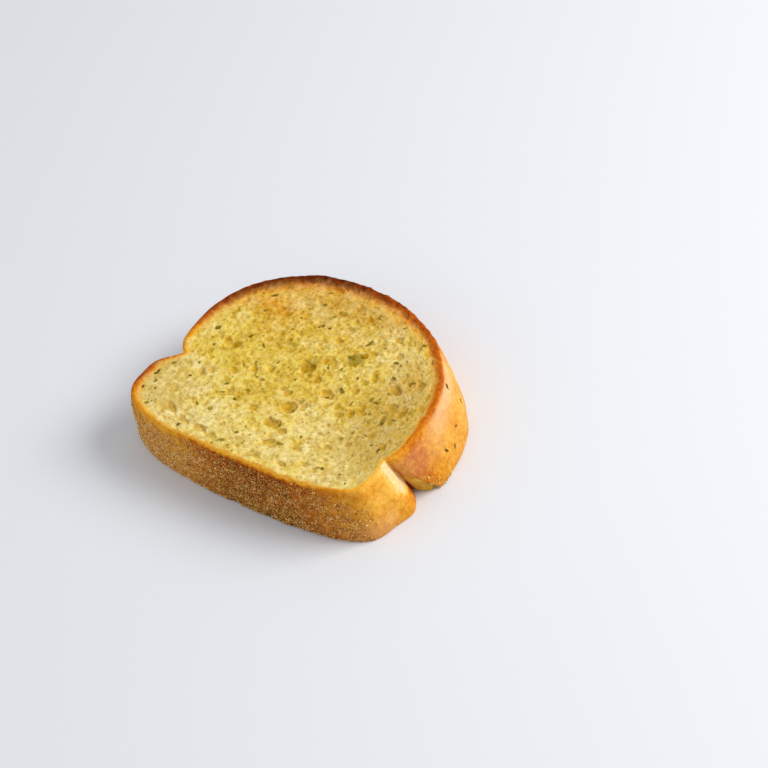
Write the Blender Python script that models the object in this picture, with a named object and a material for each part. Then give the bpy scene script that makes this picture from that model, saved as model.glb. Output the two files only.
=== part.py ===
"""One thick slice of garlic bread, cut from a loaf with a domed top and lying on its back face.

Metres, +Z up. X runs along the loaf's flat base, Y from that base to the crown, and Z through the
slice's thickness, with the buttered face up. The slice is worked out with the base's middle at the
start of X and Y, and moved at the end, so that the origin is the bottom centre of its box.
"""

import math
import random

import bmesh
import bpy
from mathutils import Euler, Matrix, Vector, noise

MM = 0.001

THICKNESS = 26 * MM
HUB = (3 * MM, 42 * MM)  # the point that the outline is measured from, X and Y

# The crown, as (size at the buttered face, size at the back face). It widens from one to the other.
CROWN_LOW_POWER = (2.7, 2.4)  # how square its lower half is, where 2 is an ellipse
CROWN_HIGH_POWER = (2.07, 2.12)
CROWN_CENTRE_X = (2.9 * MM, 5.4 * MM)
CROWN_BOTTOM = (1.0 * MM, -1.0 * MM)
CROWN_TOP = (94.8 * MM, 96.0 * MM)
CROWN_HALF_WIDTH = (55.8 * MM, 61.4 * MM)
CROWN_SWAY = (0.06, 0.08)  # how far the top leans to the left, as a share of its height

# The foot, which is the part that stood in the tin, in the same way.
FOOT_LOW_POWER = (3.0, 2.8)
FOOT_HIGH_POWER = (4.4, 3.6)
FOOT_CENTRE_X = (-0.2 * MM, 2.0 * MM)
FOOT_BOTTOM = (-1.1 * MM, -4.2 * MM)  # midway along the base
FOOT_HEEL = (1.7 * MM, 1.2 * MM)  # how far the base rises from its middle to the right
FOOT_HALF_WIDTH = (55.9 * MM, 59.4 * MM)
FOOT_SHOULDER = (29.5 * MM, 33.5 * MM)  # height of its top edge, midway
FOOT_SHOULDER_DROP = (4.0 * MM, 0.6 * MM)  # how far that edge falls from the middle to the right
JOIN_BLEND = 4 * MM  # how softly the crown runs into the foot

# Where the crust has torn away under the crown's edge, beside the right crease at the back face.
TEAR_START = 0.04  # where its top edge starts to fall, past the crease's bottom, in radians
TEAR_END = 0.135  # where that edge has come down to the back face
TEAR_HEIGHT = 14 * MM  # beside the crease, above the back face
TEAR_DEPTH = 2.0 * MM

# The rims of the two cut faces, and the unevenness of the crust.
RIM_ROUNDING = 0.9 * MM
FACE_DISH = 1.5 * MM  # how deep the crumb's broad hollow is
DISH_POWER = 2.4
RIM_STEP = 0.5 * MM  # how far the crumb has shrunk below the crust beside it
RIM_STEP_WIDTH = 3 * MM
CRUST_LUMP = 0.55 * MM
CRUST_LUMP_SPACING = 17 * MM
EDGE_WAVE = 0.4 * MM
EDGE_WAVE_SPACING = 7 * MM

# The mesh: squares across each face, and courses round the crust.
FACE_CELLS = 52
CRUST_COURSES = 10
CREASE_PULL = 0.45  # how far either side of a crease the mesh's lines bend to run along it, in radians

# The crumb's largest air cells, which open as shallow dents, each as its middle in X and Y, its
# half length, its half width (all in mm) and its turn in degrees.
LARGE_CELLS = (
    (1.5, 49.5, 3.2, 2.8, 50),
    (6.5, 30.0, 3.5, 3.0, 30),
    (5.5, 20.5, 4.2, 2.6, 5),
    (11.0, 12.0, 3.8, 2.3, 10),
    (-18.0, 5.0, 3.6, 2.2, -5),
    (-26.5, 5.5, 3.6, 2.0, -20),
    (-34.5, 8.5, 3.9, 1.9, -30),
    (16.0, 42.0, 3.0, 2.4, -15),
    (39.0, 55.5, 3.4, 2.3, -25),
    (-19.0, 26.5, 2.8, 2.0, -50),
    (28.0, 57.0, 2.6, 1.9, -60),
    (30.0, 38.0, 2.5, 1.9, -80),
    (-32.0, 46.5, 2.4, 1.9, 65),
    (8.0, 46.5, 2.5, 1.8, -60),
)
CELL_DEPTH = 0.55  # share of the half width

# The largest flakes of dried herb on the face, each as its middle in X and Y, its length, its
# width (all in mm) and its turn in degrees.
LARGE_FLAKES = (
    (-51.0, 20.0, 4.0, 2.0, 74),
    (-45.0, 5.0, 4.0, 2.0, 27),
    (-51.5, 11.5, 2.2, 1.8, -75),
    (-43.3, 50.0, 2.8, 2.0, 40),
    (-48.0, 27.0, 2.1, 1.6, 27),
    (-13.5, 30.0, 2.4, 1.8, -6),
    (-20.5, 15.0, 2.5, 2.0, 27),
    (-6.5, 4.0, 3.8, 2.2, 53),
    (20.5, 46.0, 3.6, 1.7, -32),
    (33.5, 47.5, 2.4, 1.5, -71),
    (27.5, 42.5, 2.2, 1.4, 66),
    (37.0, 41.0, 3.0, 1.4, -63),
    (44.0, 39.5, 3.8, 2.0, -72),
    (46.5, 28.5, 2.0, 1.5, 27),
    (50.5, 27.5, 2.4, 1.7, -72),
    (35.5, 60.0, 2.6, 1.8, -7),
    (43.5, 61.0, 2.4, 2.0, 40),
    (27.0, 53.0, 2.1, 1.5, 27),
    (31.5, 67.0, 2.9, 1.4, 14),
    (16.5, 70.5, 4.0, 1.5, 67),
    (-11.5, 79.5, 2.1, 1.4, 2),
    (-33.0, 74.5, 3.6, 1.5, 40),
    (-31.5, 66.5, 2.4, 1.4, 40),
    (12.5, 84.0, 2.6, 1.4, -63),
)
FLAKE_HEIGHT = 0.7 * MM
FLAKE_TAPER = 0.7  # width of its top over width of its foot
FLAKE_SIDES = 7
FLAKE_TILT = 0.12  # most that a flake leans, in radians

SEED = 11

CRUMB_COLOUR = (0.79, 0.60, 0.24, 1.0)
BREAD_ROUGHNESS = 0.8


class Notch:
    """The torn crease between crown and foot on one side of the loaf."""

    def __init__(self, at_face, at_back, depth, crown_side, foot_side):
        self.ends = [math.atan2(y - HUB[1], x - HUB[0]) for x, y in (at_face, at_back)]
        self.depth = depth
        self.crown_side = crown_side
        self.foot_side = foot_side

    def past(self, angle, depth):
        """Angle from the crease round towards the crown, at this share of the thickness."""
        off = math.remainder(angle - between(self.ends, depth), math.tau)
        return off if math.cos(angle) > 0 else -off

    def cut(self, angle, depth):
        """How far the crease cuts the outline back."""
        off = self.past(angle, depth)
        width = self.crown_side if off > 0 else self.foot_side
        return between(self.depth, depth) * max(0.0, 1 - abs(off) / width) ** 1.6


RIGHT_NOTCH = Notch((54 * MM, 24.6 * MM), (56 * MM, 33.3 * MM), (2.0 * MM, 8.2 * MM), 0.075, 0.14)
LEFT_NOTCH = Notch((-48 * MM, 32.5 * MM), (-52 * MM, 34 * MM), (3.9 * MM, 5.4 * MM), 0.13, 0.16)


def between(ends, share):
    """The value this share of the way from the first of two ends to the second."""
    return ends[0] + (ends[1] - ends[0]) * share


def ramp(value, start, end):
    """Rises smoothly from 0 to 1 as the value goes from start to end."""
    share = min(1.0, max(0.0, (value - start) / (end - start)))
    return share * share * (3 - 2 * share)


def outside_superellipse(x, y, centre, half_width, half_height, powers):
    """Roughly how far a point lies outside a superellipse, whose halves may differ: negative inside."""
    power = powers[0] if y < centre[1] else powers[1]
    across = abs((x - centre[0]) / half_width) ** power
    along = abs((y - centre[1]) / half_height) ** power
    return ((across + along) ** (1 / power) - 1) * min(half_width, half_height)


def outside_slice(x, y, depth):
    """How far a point lies outside the loaf's outline at this share of the thickness."""
    flare = math.sin(depth * math.pi / 2)
    bottom, top = between(CROWN_BOTTOM, flare), between(CROWN_TOP, flare)
    crown = outside_superellipse(
        x + (y - (bottom + top) / 2) * between(CROWN_SWAY, flare),
        y,
        (between(CROWN_CENTRE_X, flare), (bottom + top) / 2),
        between(CROWN_HALF_WIDTH, flare),
        (top - bottom) / 2,
        (between(CROWN_LOW_POWER, flare), between(CROWN_HIGH_POWER, flare)),
    )
    half_width = between(FOOT_HALF_WIDTH, flare)
    bottom = between(FOOT_BOTTOM, flare) + between(FOOT_HEEL, flare) * x / half_width
    top = between(FOOT_SHOULDER, flare) - between(FOOT_SHOULDER_DROP, flare) * x / half_width
    foot = outside_superellipse(
        x,
        y,
        (between(FOOT_CENTRE_X, flare), (bottom + top) / 2),
        half_width,
        (top - bottom) / 2,
        (between(FOOT_LOW_POWER, flare), between(FOOT_HIGH_POWER, flare)),
    )
    overlap = max(JOIN_BLEND - abs(crown - foot), 0) / JOIN_BLEND
    return min(crown, foot) - overlap**2 * JOIN_BLEND / 4


def tear_cut(angle, depth):
    """How far the crumb lies back where the crust has torn away under the crown's edge."""
    off = RIGHT_NOTCH.past(angle, depth)
    height = (1 - depth) * THICKNESS
    highest = TEAR_HEIGHT * (1 - ramp(off, TEAR_START, TEAR_END))
    return TEAR_DEPTH * ramp(off, 0, TEAR_START) * (1 - ramp(height, highest - 1.5 * MM, highest))


def outline_radius(angle, depth):
    """The outline's distance from the hub, found by halving and then cut back by its tears."""
    inner, outer = 20 * MM, 100 * MM
    for _ in range(22):
        middle = (inner + outer) / 2
        x = HUB[0] + middle * math.cos(angle)
        y = HUB[1] + middle * math.sin(angle)
        if outside_slice(x, y, depth) < 0:
            inner = middle
        else:
            outer = middle
    torn = tear_cut(angle, depth) if math.cos(angle) > 0 else 0
    return inner - LEFT_NOTCH.cut(angle, depth) - RIGHT_NOTCH.cut(angle, depth) - torn


def rim_inset(depth):
    """How far the crust steps in where it rounds over to either cut face."""
    from_face = min(depth, 1 - depth) * THICKNESS
    short = max(0.0, 1 - from_face / RIM_ROUNDING)
    return RIM_ROUNDING * (1 - math.sqrt(1 - short**2))


def crust_relief(angle, depth):
    """The unevenness of the crust: broad lumps with shorter waves on them."""
    around = Vector((math.cos(angle), math.sin(angle), 0)) * CROWN_HALF_WIDTH[0]
    around.z = depth * THICKNESS
    lumps = noise.noise(around / CRUST_LUMP_SPACING) * CRUST_LUMP
    waves = noise.noise(around / EDGE_WAVE_SPACING) * EDGE_WAVE
    return lumps + waves


def crust_radius(angle, depth):
    """The finished outline's distance from the hub."""
    return outline_radius(angle, depth) + crust_relief(angle, depth) - rim_inset(depth)


def cell_dent(place):
    """How deep the air cells sink the face at this place."""
    deepest = 0.0
    for x, y, half_length, half_width, turn in LARGE_CELLS:
        off = place - Vector((x, y)) * MM
        off.rotate(Matrix.Rotation(-math.radians(turn), 2))
        near = math.hypot(off.x / (half_length * MM), off.y / (half_width * MM))
        deepest = max(deepest, CELL_DEPTH * half_width * MM * (1 - near**2))
    return deepest


def face_height(place, rho):
    """Height of the buttered face, where rho is the share of the way from hub to rim."""
    from_hub = (place - Vector(HUB)).length
    inside = from_hub / max(rho, 0.01) - from_hub
    step = RIM_STEP * ramp(inside if rho > 0.01 else RIM_STEP_WIDTH, 0, RIM_STEP_WIDTH)
    return THICKNESS - FACE_DISH * (1 - rho**DISH_POWER) - step - cell_dent(place)


def gridded_block(name):
    """A cube cut into squares on its two faces and courses round its side."""
    block = bmesh.new()
    bmesh.ops.create_cube(block, size=2)
    for axis, pieces in enumerate((FACE_CELLS, FACE_CELLS, CRUST_COURSES)):
        along = [
            edge
            for edge in block.edges
            if abs(edge.verts[0].co[axis] - edge.verts[1].co[axis]) > 1
        ]
        bmesh.ops.subdivide_edges(block, edges=along, cuts=pieces - 1, use_grid_fill=True)
    mesh = bpy.data.meshes.new(name)
    block.to_mesh(mesh)
    block.free()
    return mesh


def course_depth(w):
    """Share of the thickness for a course at w, which runs from 1 at the face to -1 at the back.

    The courses crowd towards the rims, where the crust rounds over.
    """
    return (1 - math.sin(w * math.pi / 2)) / 2


def along_creases(angle, depth):
    """The angle that a line of the mesh has at this depth, bent so that it runs along the creases."""
    bent = angle
    for notch in (RIGHT_NOTCH, LEFT_NOTCH):
        off = math.remainder(angle - notch.ends[0], math.tau)
        turn = math.remainder(notch.ends[1] - notch.ends[0], math.tau)
        bent += turn * depth * math.exp(-((off / CREASE_PULL) ** 2))
    return bent


def shape_slice(mesh):
    """Moves the block's vertices onto the slice: each square becomes a disc, then the outline."""
    for vertex in mesh.vertices:
        u, v, w = vertex.co
        disc = Vector((u * math.sqrt(1 - v * v / 2), v * math.sqrt(1 - u * u / 2)))
        rho = min(1.0, disc.length)
        depth = course_depth(w)
        angle = along_creases(math.atan2(disc.y, disc.x), depth)
        reach = rho * crust_radius(angle, depth)
        place = Vector(HUB) + Vector((math.cos(angle), math.sin(angle))) * reach
        on_top = w > 0.999 and rho < 0.999
        height = face_height(place, rho) if on_top else (1 - depth) * THICKNESS
        vertex.co = (place.x, place.y, height)


def flatten_back(mesh):
    """Merges the squares of the flat back face, which the slice lies on, into one face."""
    block = bmesh.new()
    block.from_mesh(mesh)
    back = [face for face in block.faces if face.calc_center_median().z < MM / 1000]
    bmesh.ops.dissolve_faces(block, faces=back, use_verts=True)
    block.to_mesh(mesh)
    block.free()


def add_flake(name, flake, rng, collection):
    """One flake of herb: a low button with a tapered side, lying half sunk in the crumb."""
    x, y, length, width, turn = flake
    place = Vector((x, y)) * MM
    off = place - Vector(HUB)
    rho = off.length / outline_radius(math.atan2(off.y, off.x), 0)
    tilt = [rng.uniform(-FLAKE_TILT, FLAKE_TILT) for _ in range(2)]
    button = bmesh.new()
    bmesh.ops.create_cone(
        button,
        cap_ends=True,
        segments=FLAKE_SIDES,
        radius1=length * MM / 2,
        radius2=length * MM / 2 * FLAKE_TAPER,
        depth=2 * FLAKE_HEIGHT,
        matrix=Matrix.LocRotScale(
            (place.x, place.y, face_height(place, rho)),
            Euler((tilt[0], tilt[1], math.radians(turn))),
            (1, width / length, 1),
        ),
    )
    mesh = bpy.data.meshes.new(name)
    button.to_mesh(mesh)
    button.free()
    collection.objects.link(bpy.data.objects.new(name, mesh))


def fuse_flakes(bread, rng):
    """Joins the herb flakes to the slice with one Boolean union, and removes the loose ones."""
    flakes = bpy.data.collections.new("Herb flakes")
    bpy.context.scene.collection.children.link(flakes)
    for index, flake in enumerate(LARGE_FLAKES):
        add_flake(f"flake_{index}", flake, rng, flakes)
    union = bread.modifiers.new("Fuse flakes", "BOOLEAN")
    union.operation = "UNION"
    union.operand_type = "COLLECTION"
    union.collection = flakes
    union.solver = "EXACT"
    graph = bpy.context.evaluated_depsgraph_get()
    fused = bpy.data.meshes.new_from_object(bread.evaluated_get(graph))
    bread.modifiers.clear()
    bread.data = fused
    for flake in list(flakes.objects):
        bpy.data.objects.remove(flake)
    bpy.data.collections.remove(flakes)


def centre_on_floor(mesh):
    """Moves the mesh so that the origin is the bottom centre of its box."""
    for axis in range(3):
        values = [vertex.co[axis] for vertex in mesh.vertices]
        start = min(values) if axis == 2 else (min(values) + max(values)) / 2
        for vertex in mesh.vertices:
            vertex.co[axis] -= start


def bread_material():
    """Buttered crumb: pale gold and matt."""
    material = bpy.data.materials.new("Toasted bread")
    material.use_nodes = True
    surface = material.node_tree.nodes["Principled BSDF"]
    surface.inputs["Base Color"].default_value = CRUMB_COLOUR
    surface.inputs["Roughness"].default_value = BREAD_ROUGHNESS
    surface.inputs["Metallic"].default_value = 0.0
    return material


def main():
    for obj in list(bpy.data.objects):
        bpy.data.objects.remove(obj)
    collection = bpy.data.collections.new("Garlic bread")
    bpy.context.scene.collection.children.link(collection)

    mesh = gridded_block("garlic_bread")
    shape_slice(mesh)
    flatten_back(mesh)
    bread = bpy.data.objects.new("garlic_bread", mesh)
    collection.objects.link(bread)
    fuse_flakes(bread, random.Random(SEED))
    centre_on_floor(bread.data)
    bread.data.materials.clear()
    bread.data.materials.append(bread_material())
    bread.data.shade_smooth()
    bread.data.set_sharp_from_angle(angle=math.radians(40))


main()
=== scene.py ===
import logging
from dataclasses import dataclass, field
from enum import Enum

import bpy
import numpy as np
from mathutils import Matrix, Vector, noise


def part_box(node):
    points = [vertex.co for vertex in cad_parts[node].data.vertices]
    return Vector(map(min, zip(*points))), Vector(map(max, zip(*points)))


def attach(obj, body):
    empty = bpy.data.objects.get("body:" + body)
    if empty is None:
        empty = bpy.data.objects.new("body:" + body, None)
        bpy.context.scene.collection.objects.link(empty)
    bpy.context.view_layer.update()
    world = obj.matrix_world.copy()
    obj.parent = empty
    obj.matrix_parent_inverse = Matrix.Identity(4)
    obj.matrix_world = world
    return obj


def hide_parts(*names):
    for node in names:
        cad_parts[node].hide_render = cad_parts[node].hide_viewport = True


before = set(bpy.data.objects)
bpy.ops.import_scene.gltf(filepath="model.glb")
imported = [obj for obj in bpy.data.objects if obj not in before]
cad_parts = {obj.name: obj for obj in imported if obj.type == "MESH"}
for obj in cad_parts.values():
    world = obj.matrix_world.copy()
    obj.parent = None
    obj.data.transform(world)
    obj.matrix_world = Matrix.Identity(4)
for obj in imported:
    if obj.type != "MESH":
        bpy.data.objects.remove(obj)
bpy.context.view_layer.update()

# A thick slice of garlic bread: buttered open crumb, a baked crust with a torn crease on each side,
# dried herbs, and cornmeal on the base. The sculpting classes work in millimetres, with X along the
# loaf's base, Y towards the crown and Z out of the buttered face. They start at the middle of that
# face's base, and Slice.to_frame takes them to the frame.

LOG = logging.getLogger("garlic_bread")
MM = 0.001
Array = np.ndarray
NODE = "garlic_bread"
BODY = "root"


# ---------------------------------------------------------------- small tools


def linear(colour: str) -> tuple[float, float, float, float]:
    """Turn an sRGB hex colour into linear RGBA.

    Args:
        colour: a hash and six hex digits.

    Returns:
        The same colour as shader sockets take it.
    """
    channels = [int(colour[start : start + 2], 16) / 255 for start in (1, 3, 5)]
    red, green, blue = (c / 12.92 if c <= 0.04045 else ((c + 0.055) / 1.055) ** 2.4 for c in channels)
    return red, green, blue, 1.0


def per_metre(size_mm: float) -> float:
    """Scale of a pattern whose features are this many millimetres apart."""
    return 1.0 / (size_mm * MM)


def ramp(value: Array, start: float | Array, end: float | Array) -> Array:
    """Rise smoothly from 0 to 1 as a value goes from start to end.

    Args:
        value: what to measure.
        start: value at which the rise begins.
        end: value at which it is done, above start.

    Returns:
        The share, for each value.
    """
    share = np.clip((value - start) / (end - start), 0.0, 1.0)
    return share * share * (3.0 - 2.0 * share)


def lumps(points: Array, spacing: float | Array, seed: float = 0.0) -> Array:
    """Smooth noise between about -1 and 1.

    Args:
        points: places, one row of X, Y and Z each.
        spacing: distance between lumps, in the units of the points.
        seed: moves the noise, so that two layers differ.

    Returns:
        One value a place.
    """
    places = points / spacing + seed
    return np.array([noise.noise(place) for place in places.tolist()])


Waves = tuple[tuple[float, float, float], ...]  # noises that add up: strength, spacing in mm, and seed
Span = tuple[float, float, float, float]  # degrees at which something starts, is full, fades and ends


def waves(points: Array, parts: Waves) -> Array:
    """Several sizes of noise, added up."""
    return sum(strength * lumps(points, spacing, seed) for strength, spacing, seed in parts)


def span(value: Array, start: float, full: float, fade: float, end: float) -> Array:
    """Rise from 0 to 1 between start and full, and fall back between fade and end."""
    return ramp(value, start, full) * (1 - ramp(value, fade, end))


def as_points(x: Array, y: Array, z: Array | float = 0.0) -> Array:
    """One row of X, Y and Z for each place."""
    return np.stack(np.broadcast_arrays(x, y, z), axis=1)


def feed(tree: bpy.types.NodeTree, node: bpy.types.Node, inputs: dict) -> None:
    """Set a node's inputs.

    Args:
        tree: node tree that it is in.
        node: the node.
        inputs: from a socket's name or number to its value, or to the output that feeds it.
    """
    for name, value in inputs.items():
        if isinstance(value, bpy.types.NodeSocket):
            tree.links.new(value, node.inputs[name])
        else:
            node.inputs[name].default_value = value


def add_node(
    tree: bpy.types.NodeTree, kind: str, inputs: dict | None = None, **settings: object
) -> bpy.types.Node:
    """Add a shader node with its settings and links.

    Args:
        tree: node tree that it joins.
        kind: the node's type.
        inputs: what feed takes.
        settings: the node's own properties. A colour ramp's are given as stops, (place, hex) each.

    Returns:
        The new node.
    """
    node = tree.nodes.new(kind)
    for place, colour in settings.pop("stops", ()):
        elements = node.color_ramp.elements
        stop = elements[0] if place == 0 else elements[-1] if place == 1 else elements.new(place)
        stop.color = linear(colour)
    for name, value in settings.items():
        setattr(node, name, value)
    feed(tree, node, inputs or {})
    return node


def new_material(name: str) -> tuple[bpy.types.Material, bpy.types.NodeTree, bpy.types.Node]:
    """Start a material with nothing but its Principled shader.

    Args:
        name: what the stuff is and how its surface came about.

    Returns:
        The material, its node tree and its shader.
    """
    material = bpy.data.materials.new(name)
    material.use_nodes = True
    tree = material.node_tree
    return material, tree, tree.nodes["Principled BSDF"]


def make_piece(
    name: str,
    points: Array,
    faces: list,
    layers: dict[str, Array],
    material: bpy.types.Material,
    normals: Array | None = None,
) -> None:
    """Make a smooth mesh object that rides on the bread's body and stands for its CAD node.

    Args:
        name: the piece's name.
        points: its vertices in the frame, in metres.
        faces: each face's vertices.
        layers: from a layer's name to one number, or one row of three, for each vertex.
        material: what it is made of.
        normals: each vertex's normal, where the mesh's own would leave a seam.
    """
    mesh = bpy.data.meshes.new(name)
    mesh.from_pydata(points.tolist(), [], faces)
    for layer, values in layers.items():
        flat = np.asarray(values, dtype=np.float32)
        kind, key = ("FLOAT_VECTOR", "vector") if flat.ndim == 2 else ("FLOAT", "value")
        mesh.attributes.new(layer, kind, "POINT").data.foreach_set(key, flat.ravel())
    mesh.shade_smooth()
    mesh.update()
    if normals is not None:
        mesh.normals_split_custom_set_from_vertices(normals.tolist())
    piece = bpy.data.objects.new(name, mesh)
    bpy.context.scene.collection.objects.link(piece)
    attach(piece, BODY)
    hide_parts(NODE)
    mesh.materials.append(material)
    LOG.info("%s: %d triangles", name, sum(len(face) - 2 for face in faces))


# ---------------------------------------------------------------- the loaf's outline

Ends = tuple[float, float]  # a size at the buttered face, and at the back face


def between(ends: Ends, share: Array | float) -> Array | float:
    """The value this share of the way from the first of two ends to the second."""
    return ends[0] + (ends[1] - ends[0]) * share


def turned(angle: Array) -> Array:
    """The same angles, between minus pi and pi."""
    return np.remainder(angle + np.pi, 2 * np.pi) - np.pi


@dataclass
class Lobe:
    """One rounded part of the outline, a superellipse at each depth of the slice.

    Attributes:
        centre_x: its middle.
        half_width: half its size along X.
        bottom: its lowest Y.
        top: its highest Y, at its middle.
        drop: how far the top edge falls from the middle to the right.
        heel: how far the bottom edge rises from the middle to the right.
        sway: how far it leans to the left, as a share of its height.
        low_power: how square its lower half is; 2 is an ellipse.
        high_power: how square its upper half is.
    """

    centre_x: Ends
    half_width: Ends
    bottom: Ends
    top: Ends
    drop: Ends
    heel: Ends
    sway: Ends
    low_power: Ends
    high_power: Ends

    def outside(self, x: Array, y: Array, flare: Array) -> Array:
        """Say roughly how far places lie outside it, negative inside.

        Args:
            x: places along the base.
            y: places above the base.
            flare: how much of the change from face to back has been taken up there.

        Returns:
            The distance for each place.
        """
        half_width = between(self.half_width, flare)
        bottom = between(self.bottom, flare) + between(self.heel, flare) * x / half_width
        top = between(self.top, flare) - between(self.drop, flare) * x / half_width
        middle, half_height = (top + bottom) / 2, (top - bottom) / 2
        swayed = x + (y - middle) * between(self.sway, flare) - between(self.centre_x, flare)
        power = np.where(y < middle, between(self.low_power, flare), between(self.high_power, flare))
        across = np.abs(swayed / half_width) ** power
        along = np.abs((y - middle) / half_height) ** power
        return ((across + along) ** (1 / power) - 1) * np.minimum(half_width, half_height)


@dataclass
class Crease:
    """The torn crease between crown and foot on one side.

    Attributes:
        angles: where it runs, in radians round the hub.
        depth: how far it cuts in.
        crown_side: how wide it is towards the crown, in radians.
        foot_side: how wide it is towards the foot.
        reach: how far from it the mesh's lines bend to run along it, in radians.
        reach: how far from it the mesh's lines bend to run along it, in radians.
        sharpness: how narrow its bottom is; 1 is an even slope.
    """

    angles: Ends
    depth: Ends
    crown_side: float
    foot_side: float
    reach: float = 0.45
    sharpness: float = 1.6

    def past(self, angle: Array, depth: Array) -> Array:
        """Angle from the crease round towards the crown.

        Args:
            angle: places round the hub.
            depth: shares of the thickness.

        Returns:
            Radians for each place, negative on the foot.
        """
        off = turned(angle - between(self.angles, depth))
        return np.where(np.cos(angle) > 0, off, -off)

    def pull(self, angle: Array, depth: Array) -> Array:
        """How far lines of the mesh bend at each angle and depth, so that they run along it."""
        near = np.exp(-((turned(angle - self.angles[0]) / self.reach) ** 2))
        return (self.angles[1] - self.angles[0]) * depth * near

    def cut(self, angle: Array, depth: Array) -> Array:
        """Find how far the crease cuts the outline back.

        Args:
            angle: places round the hub.
            depth: shares of the thickness.

        Returns:
            The distance for each place.
        """
        off = self.past(angle, depth)
        width = np.where(off > 0, self.crown_side, self.foot_side)
        return between(self.depth, depth) * np.maximum(0.0, 1 - np.abs(off) / width) ** self.sharpness


@dataclass
class Outline:
    """The loaf's section: a domed crown on a flat foot, with a crease on each side.

    Attributes:
        hub: the point that it is measured from.
        thickness: the slice's thickness.
        join: how softly crown and foot run together.
        crown: the dome.
        foot: the part that stood in the tin.
        right: the crease on the right.
        left: the crease on the left.
        tear_angles: where the edge of the torn crust starts and ends its fall to the back face, in
            radians past the right crease.
        tear_height: how high above the back face that edge stands beside the crease.
        tear_depth: how far the crumb lies back there.
        search: distances from the hub between which the outline is sought.
        halvings: how often that search is halved.
    """

    hub: tuple[float, float] = (3.0, 42.0)
    thickness: float = 26.0
    join: float = 4.0
    crown: Lobe = field(
        default_factory=lambda: Lobe(
            centre_x=(2.9, 5.4),
            half_width=(55.8, 61.4),
            bottom=(1.0, -1.0),
            top=(94.8, 96.0),
            drop=(0.0, 0.0),
            heel=(0.0, 0.0),
            sway=(0.06, 0.08),
            low_power=(2.7, 2.4),
            high_power=(2.07, 2.12),
        )
    )
    foot: Lobe = field(
        default_factory=lambda: Lobe(
            centre_x=(-0.2, 2.0),
            half_width=(55.9, 59.4),
            bottom=(-1.1, -4.2),
            top=(29.5, 33.5),
            drop=(4.0, 0.6),
            heel=(1.7, 1.2),
            sway=(0.0, 0.0),
            low_power=(3.0, 2.8),
            high_power=(4.4, 3.6),
        )
    )
    right: Crease = field(default_factory=lambda: Crease((-0.3287, -0.1627), (2.0, 8.2), 0.075, 0.14))
    left: Crease = field(default_factory=lambda: Crease((-2.9574, -2.9971), (3.9, 5.4), 0.13, 0.16))
    tear_angles: Ends = (0.04, 0.135)
    tear_height: float = 14.0
    tear_depth: float = 2.0
    search: tuple[float, float] = (20.0, 100.0)
    halvings: int = 22

    def outside(self, x: Array, y: Array, depth: Array) -> Array:
        """Say how far places lie outside the loaf, negative inside.

        Args:
            x: places along the base.
            y: places above the base.
            depth: shares of the thickness.

        Returns:
            The distance for each place.
        """
        flare = np.sin(depth * np.pi / 2)
        crown = self.crown.outside(x, y, flare)
        foot = self.foot.outside(x, y, flare)
        overlap = np.maximum(self.join - np.abs(crown - foot), 0) / self.join
        return np.minimum(crown, foot) - overlap**2 * self.join / 4

    def tear(self, angle: Array, depth: Array, ragged: Array | float = 0.0) -> Array:
        """Say how much of the crust is torn away under the crown's right edge.

        Args:
            angle: places round the hub.
            depth: shares of the thickness.
            ragged: how far the tear's upper edge wanders at each place.

        Returns:
            1 where the crumb shows, 0 where the crust is whole.
        """
        off = self.right.past(angle, depth)
        start, end = self.tear_angles
        height = (1 - depth) * self.thickness + ragged
        reach = self.tear_height * (1 - ramp(off, start, end))
        whole = ramp(height, reach - 1.0, reach)
        return np.where(np.cos(angle) > 0, ramp(off, 0.0, start) * (1 - whole), 0.0)

    def radius(self, angle: Array, depth: Array) -> Array:
        """Find the outline's distance from the hub by halving, and cut its creases back.

        Args:
            angle: places round the hub.
            depth: shares of the thickness.

        Returns:
            The distance for each place.
        """
        inner, outer = (np.full(angle.shape, end) for end in self.search)
        for _ in range(self.halvings):
            middle = (inner + outer) / 2
            within = self.outside(*self.place(angle, middle), depth) < 0
            inner, outer = np.where(within, middle, inner), np.where(within, outer, middle)
        return inner - self.left.cut(angle, depth) - self.right.cut(angle, depth)

    def place(self, angle: Array, reach: Array) -> tuple[Array, Array]:
        """X and Y of places at these angles and distances from the hub."""
        return self.hub[0] + reach * np.cos(angle), self.hub[1] + reach * np.sin(angle)

    def polar(self, x: Array, y: Array) -> tuple[Array, Array]:
        """Angle and distance from the hub of places in X and Y."""
        return np.arctan2(y - self.hub[1], x - self.hub[0]), np.hypot(x - self.hub[0], y - self.hub[1])


# ---------------------------------------------------------------- the crumb


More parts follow.
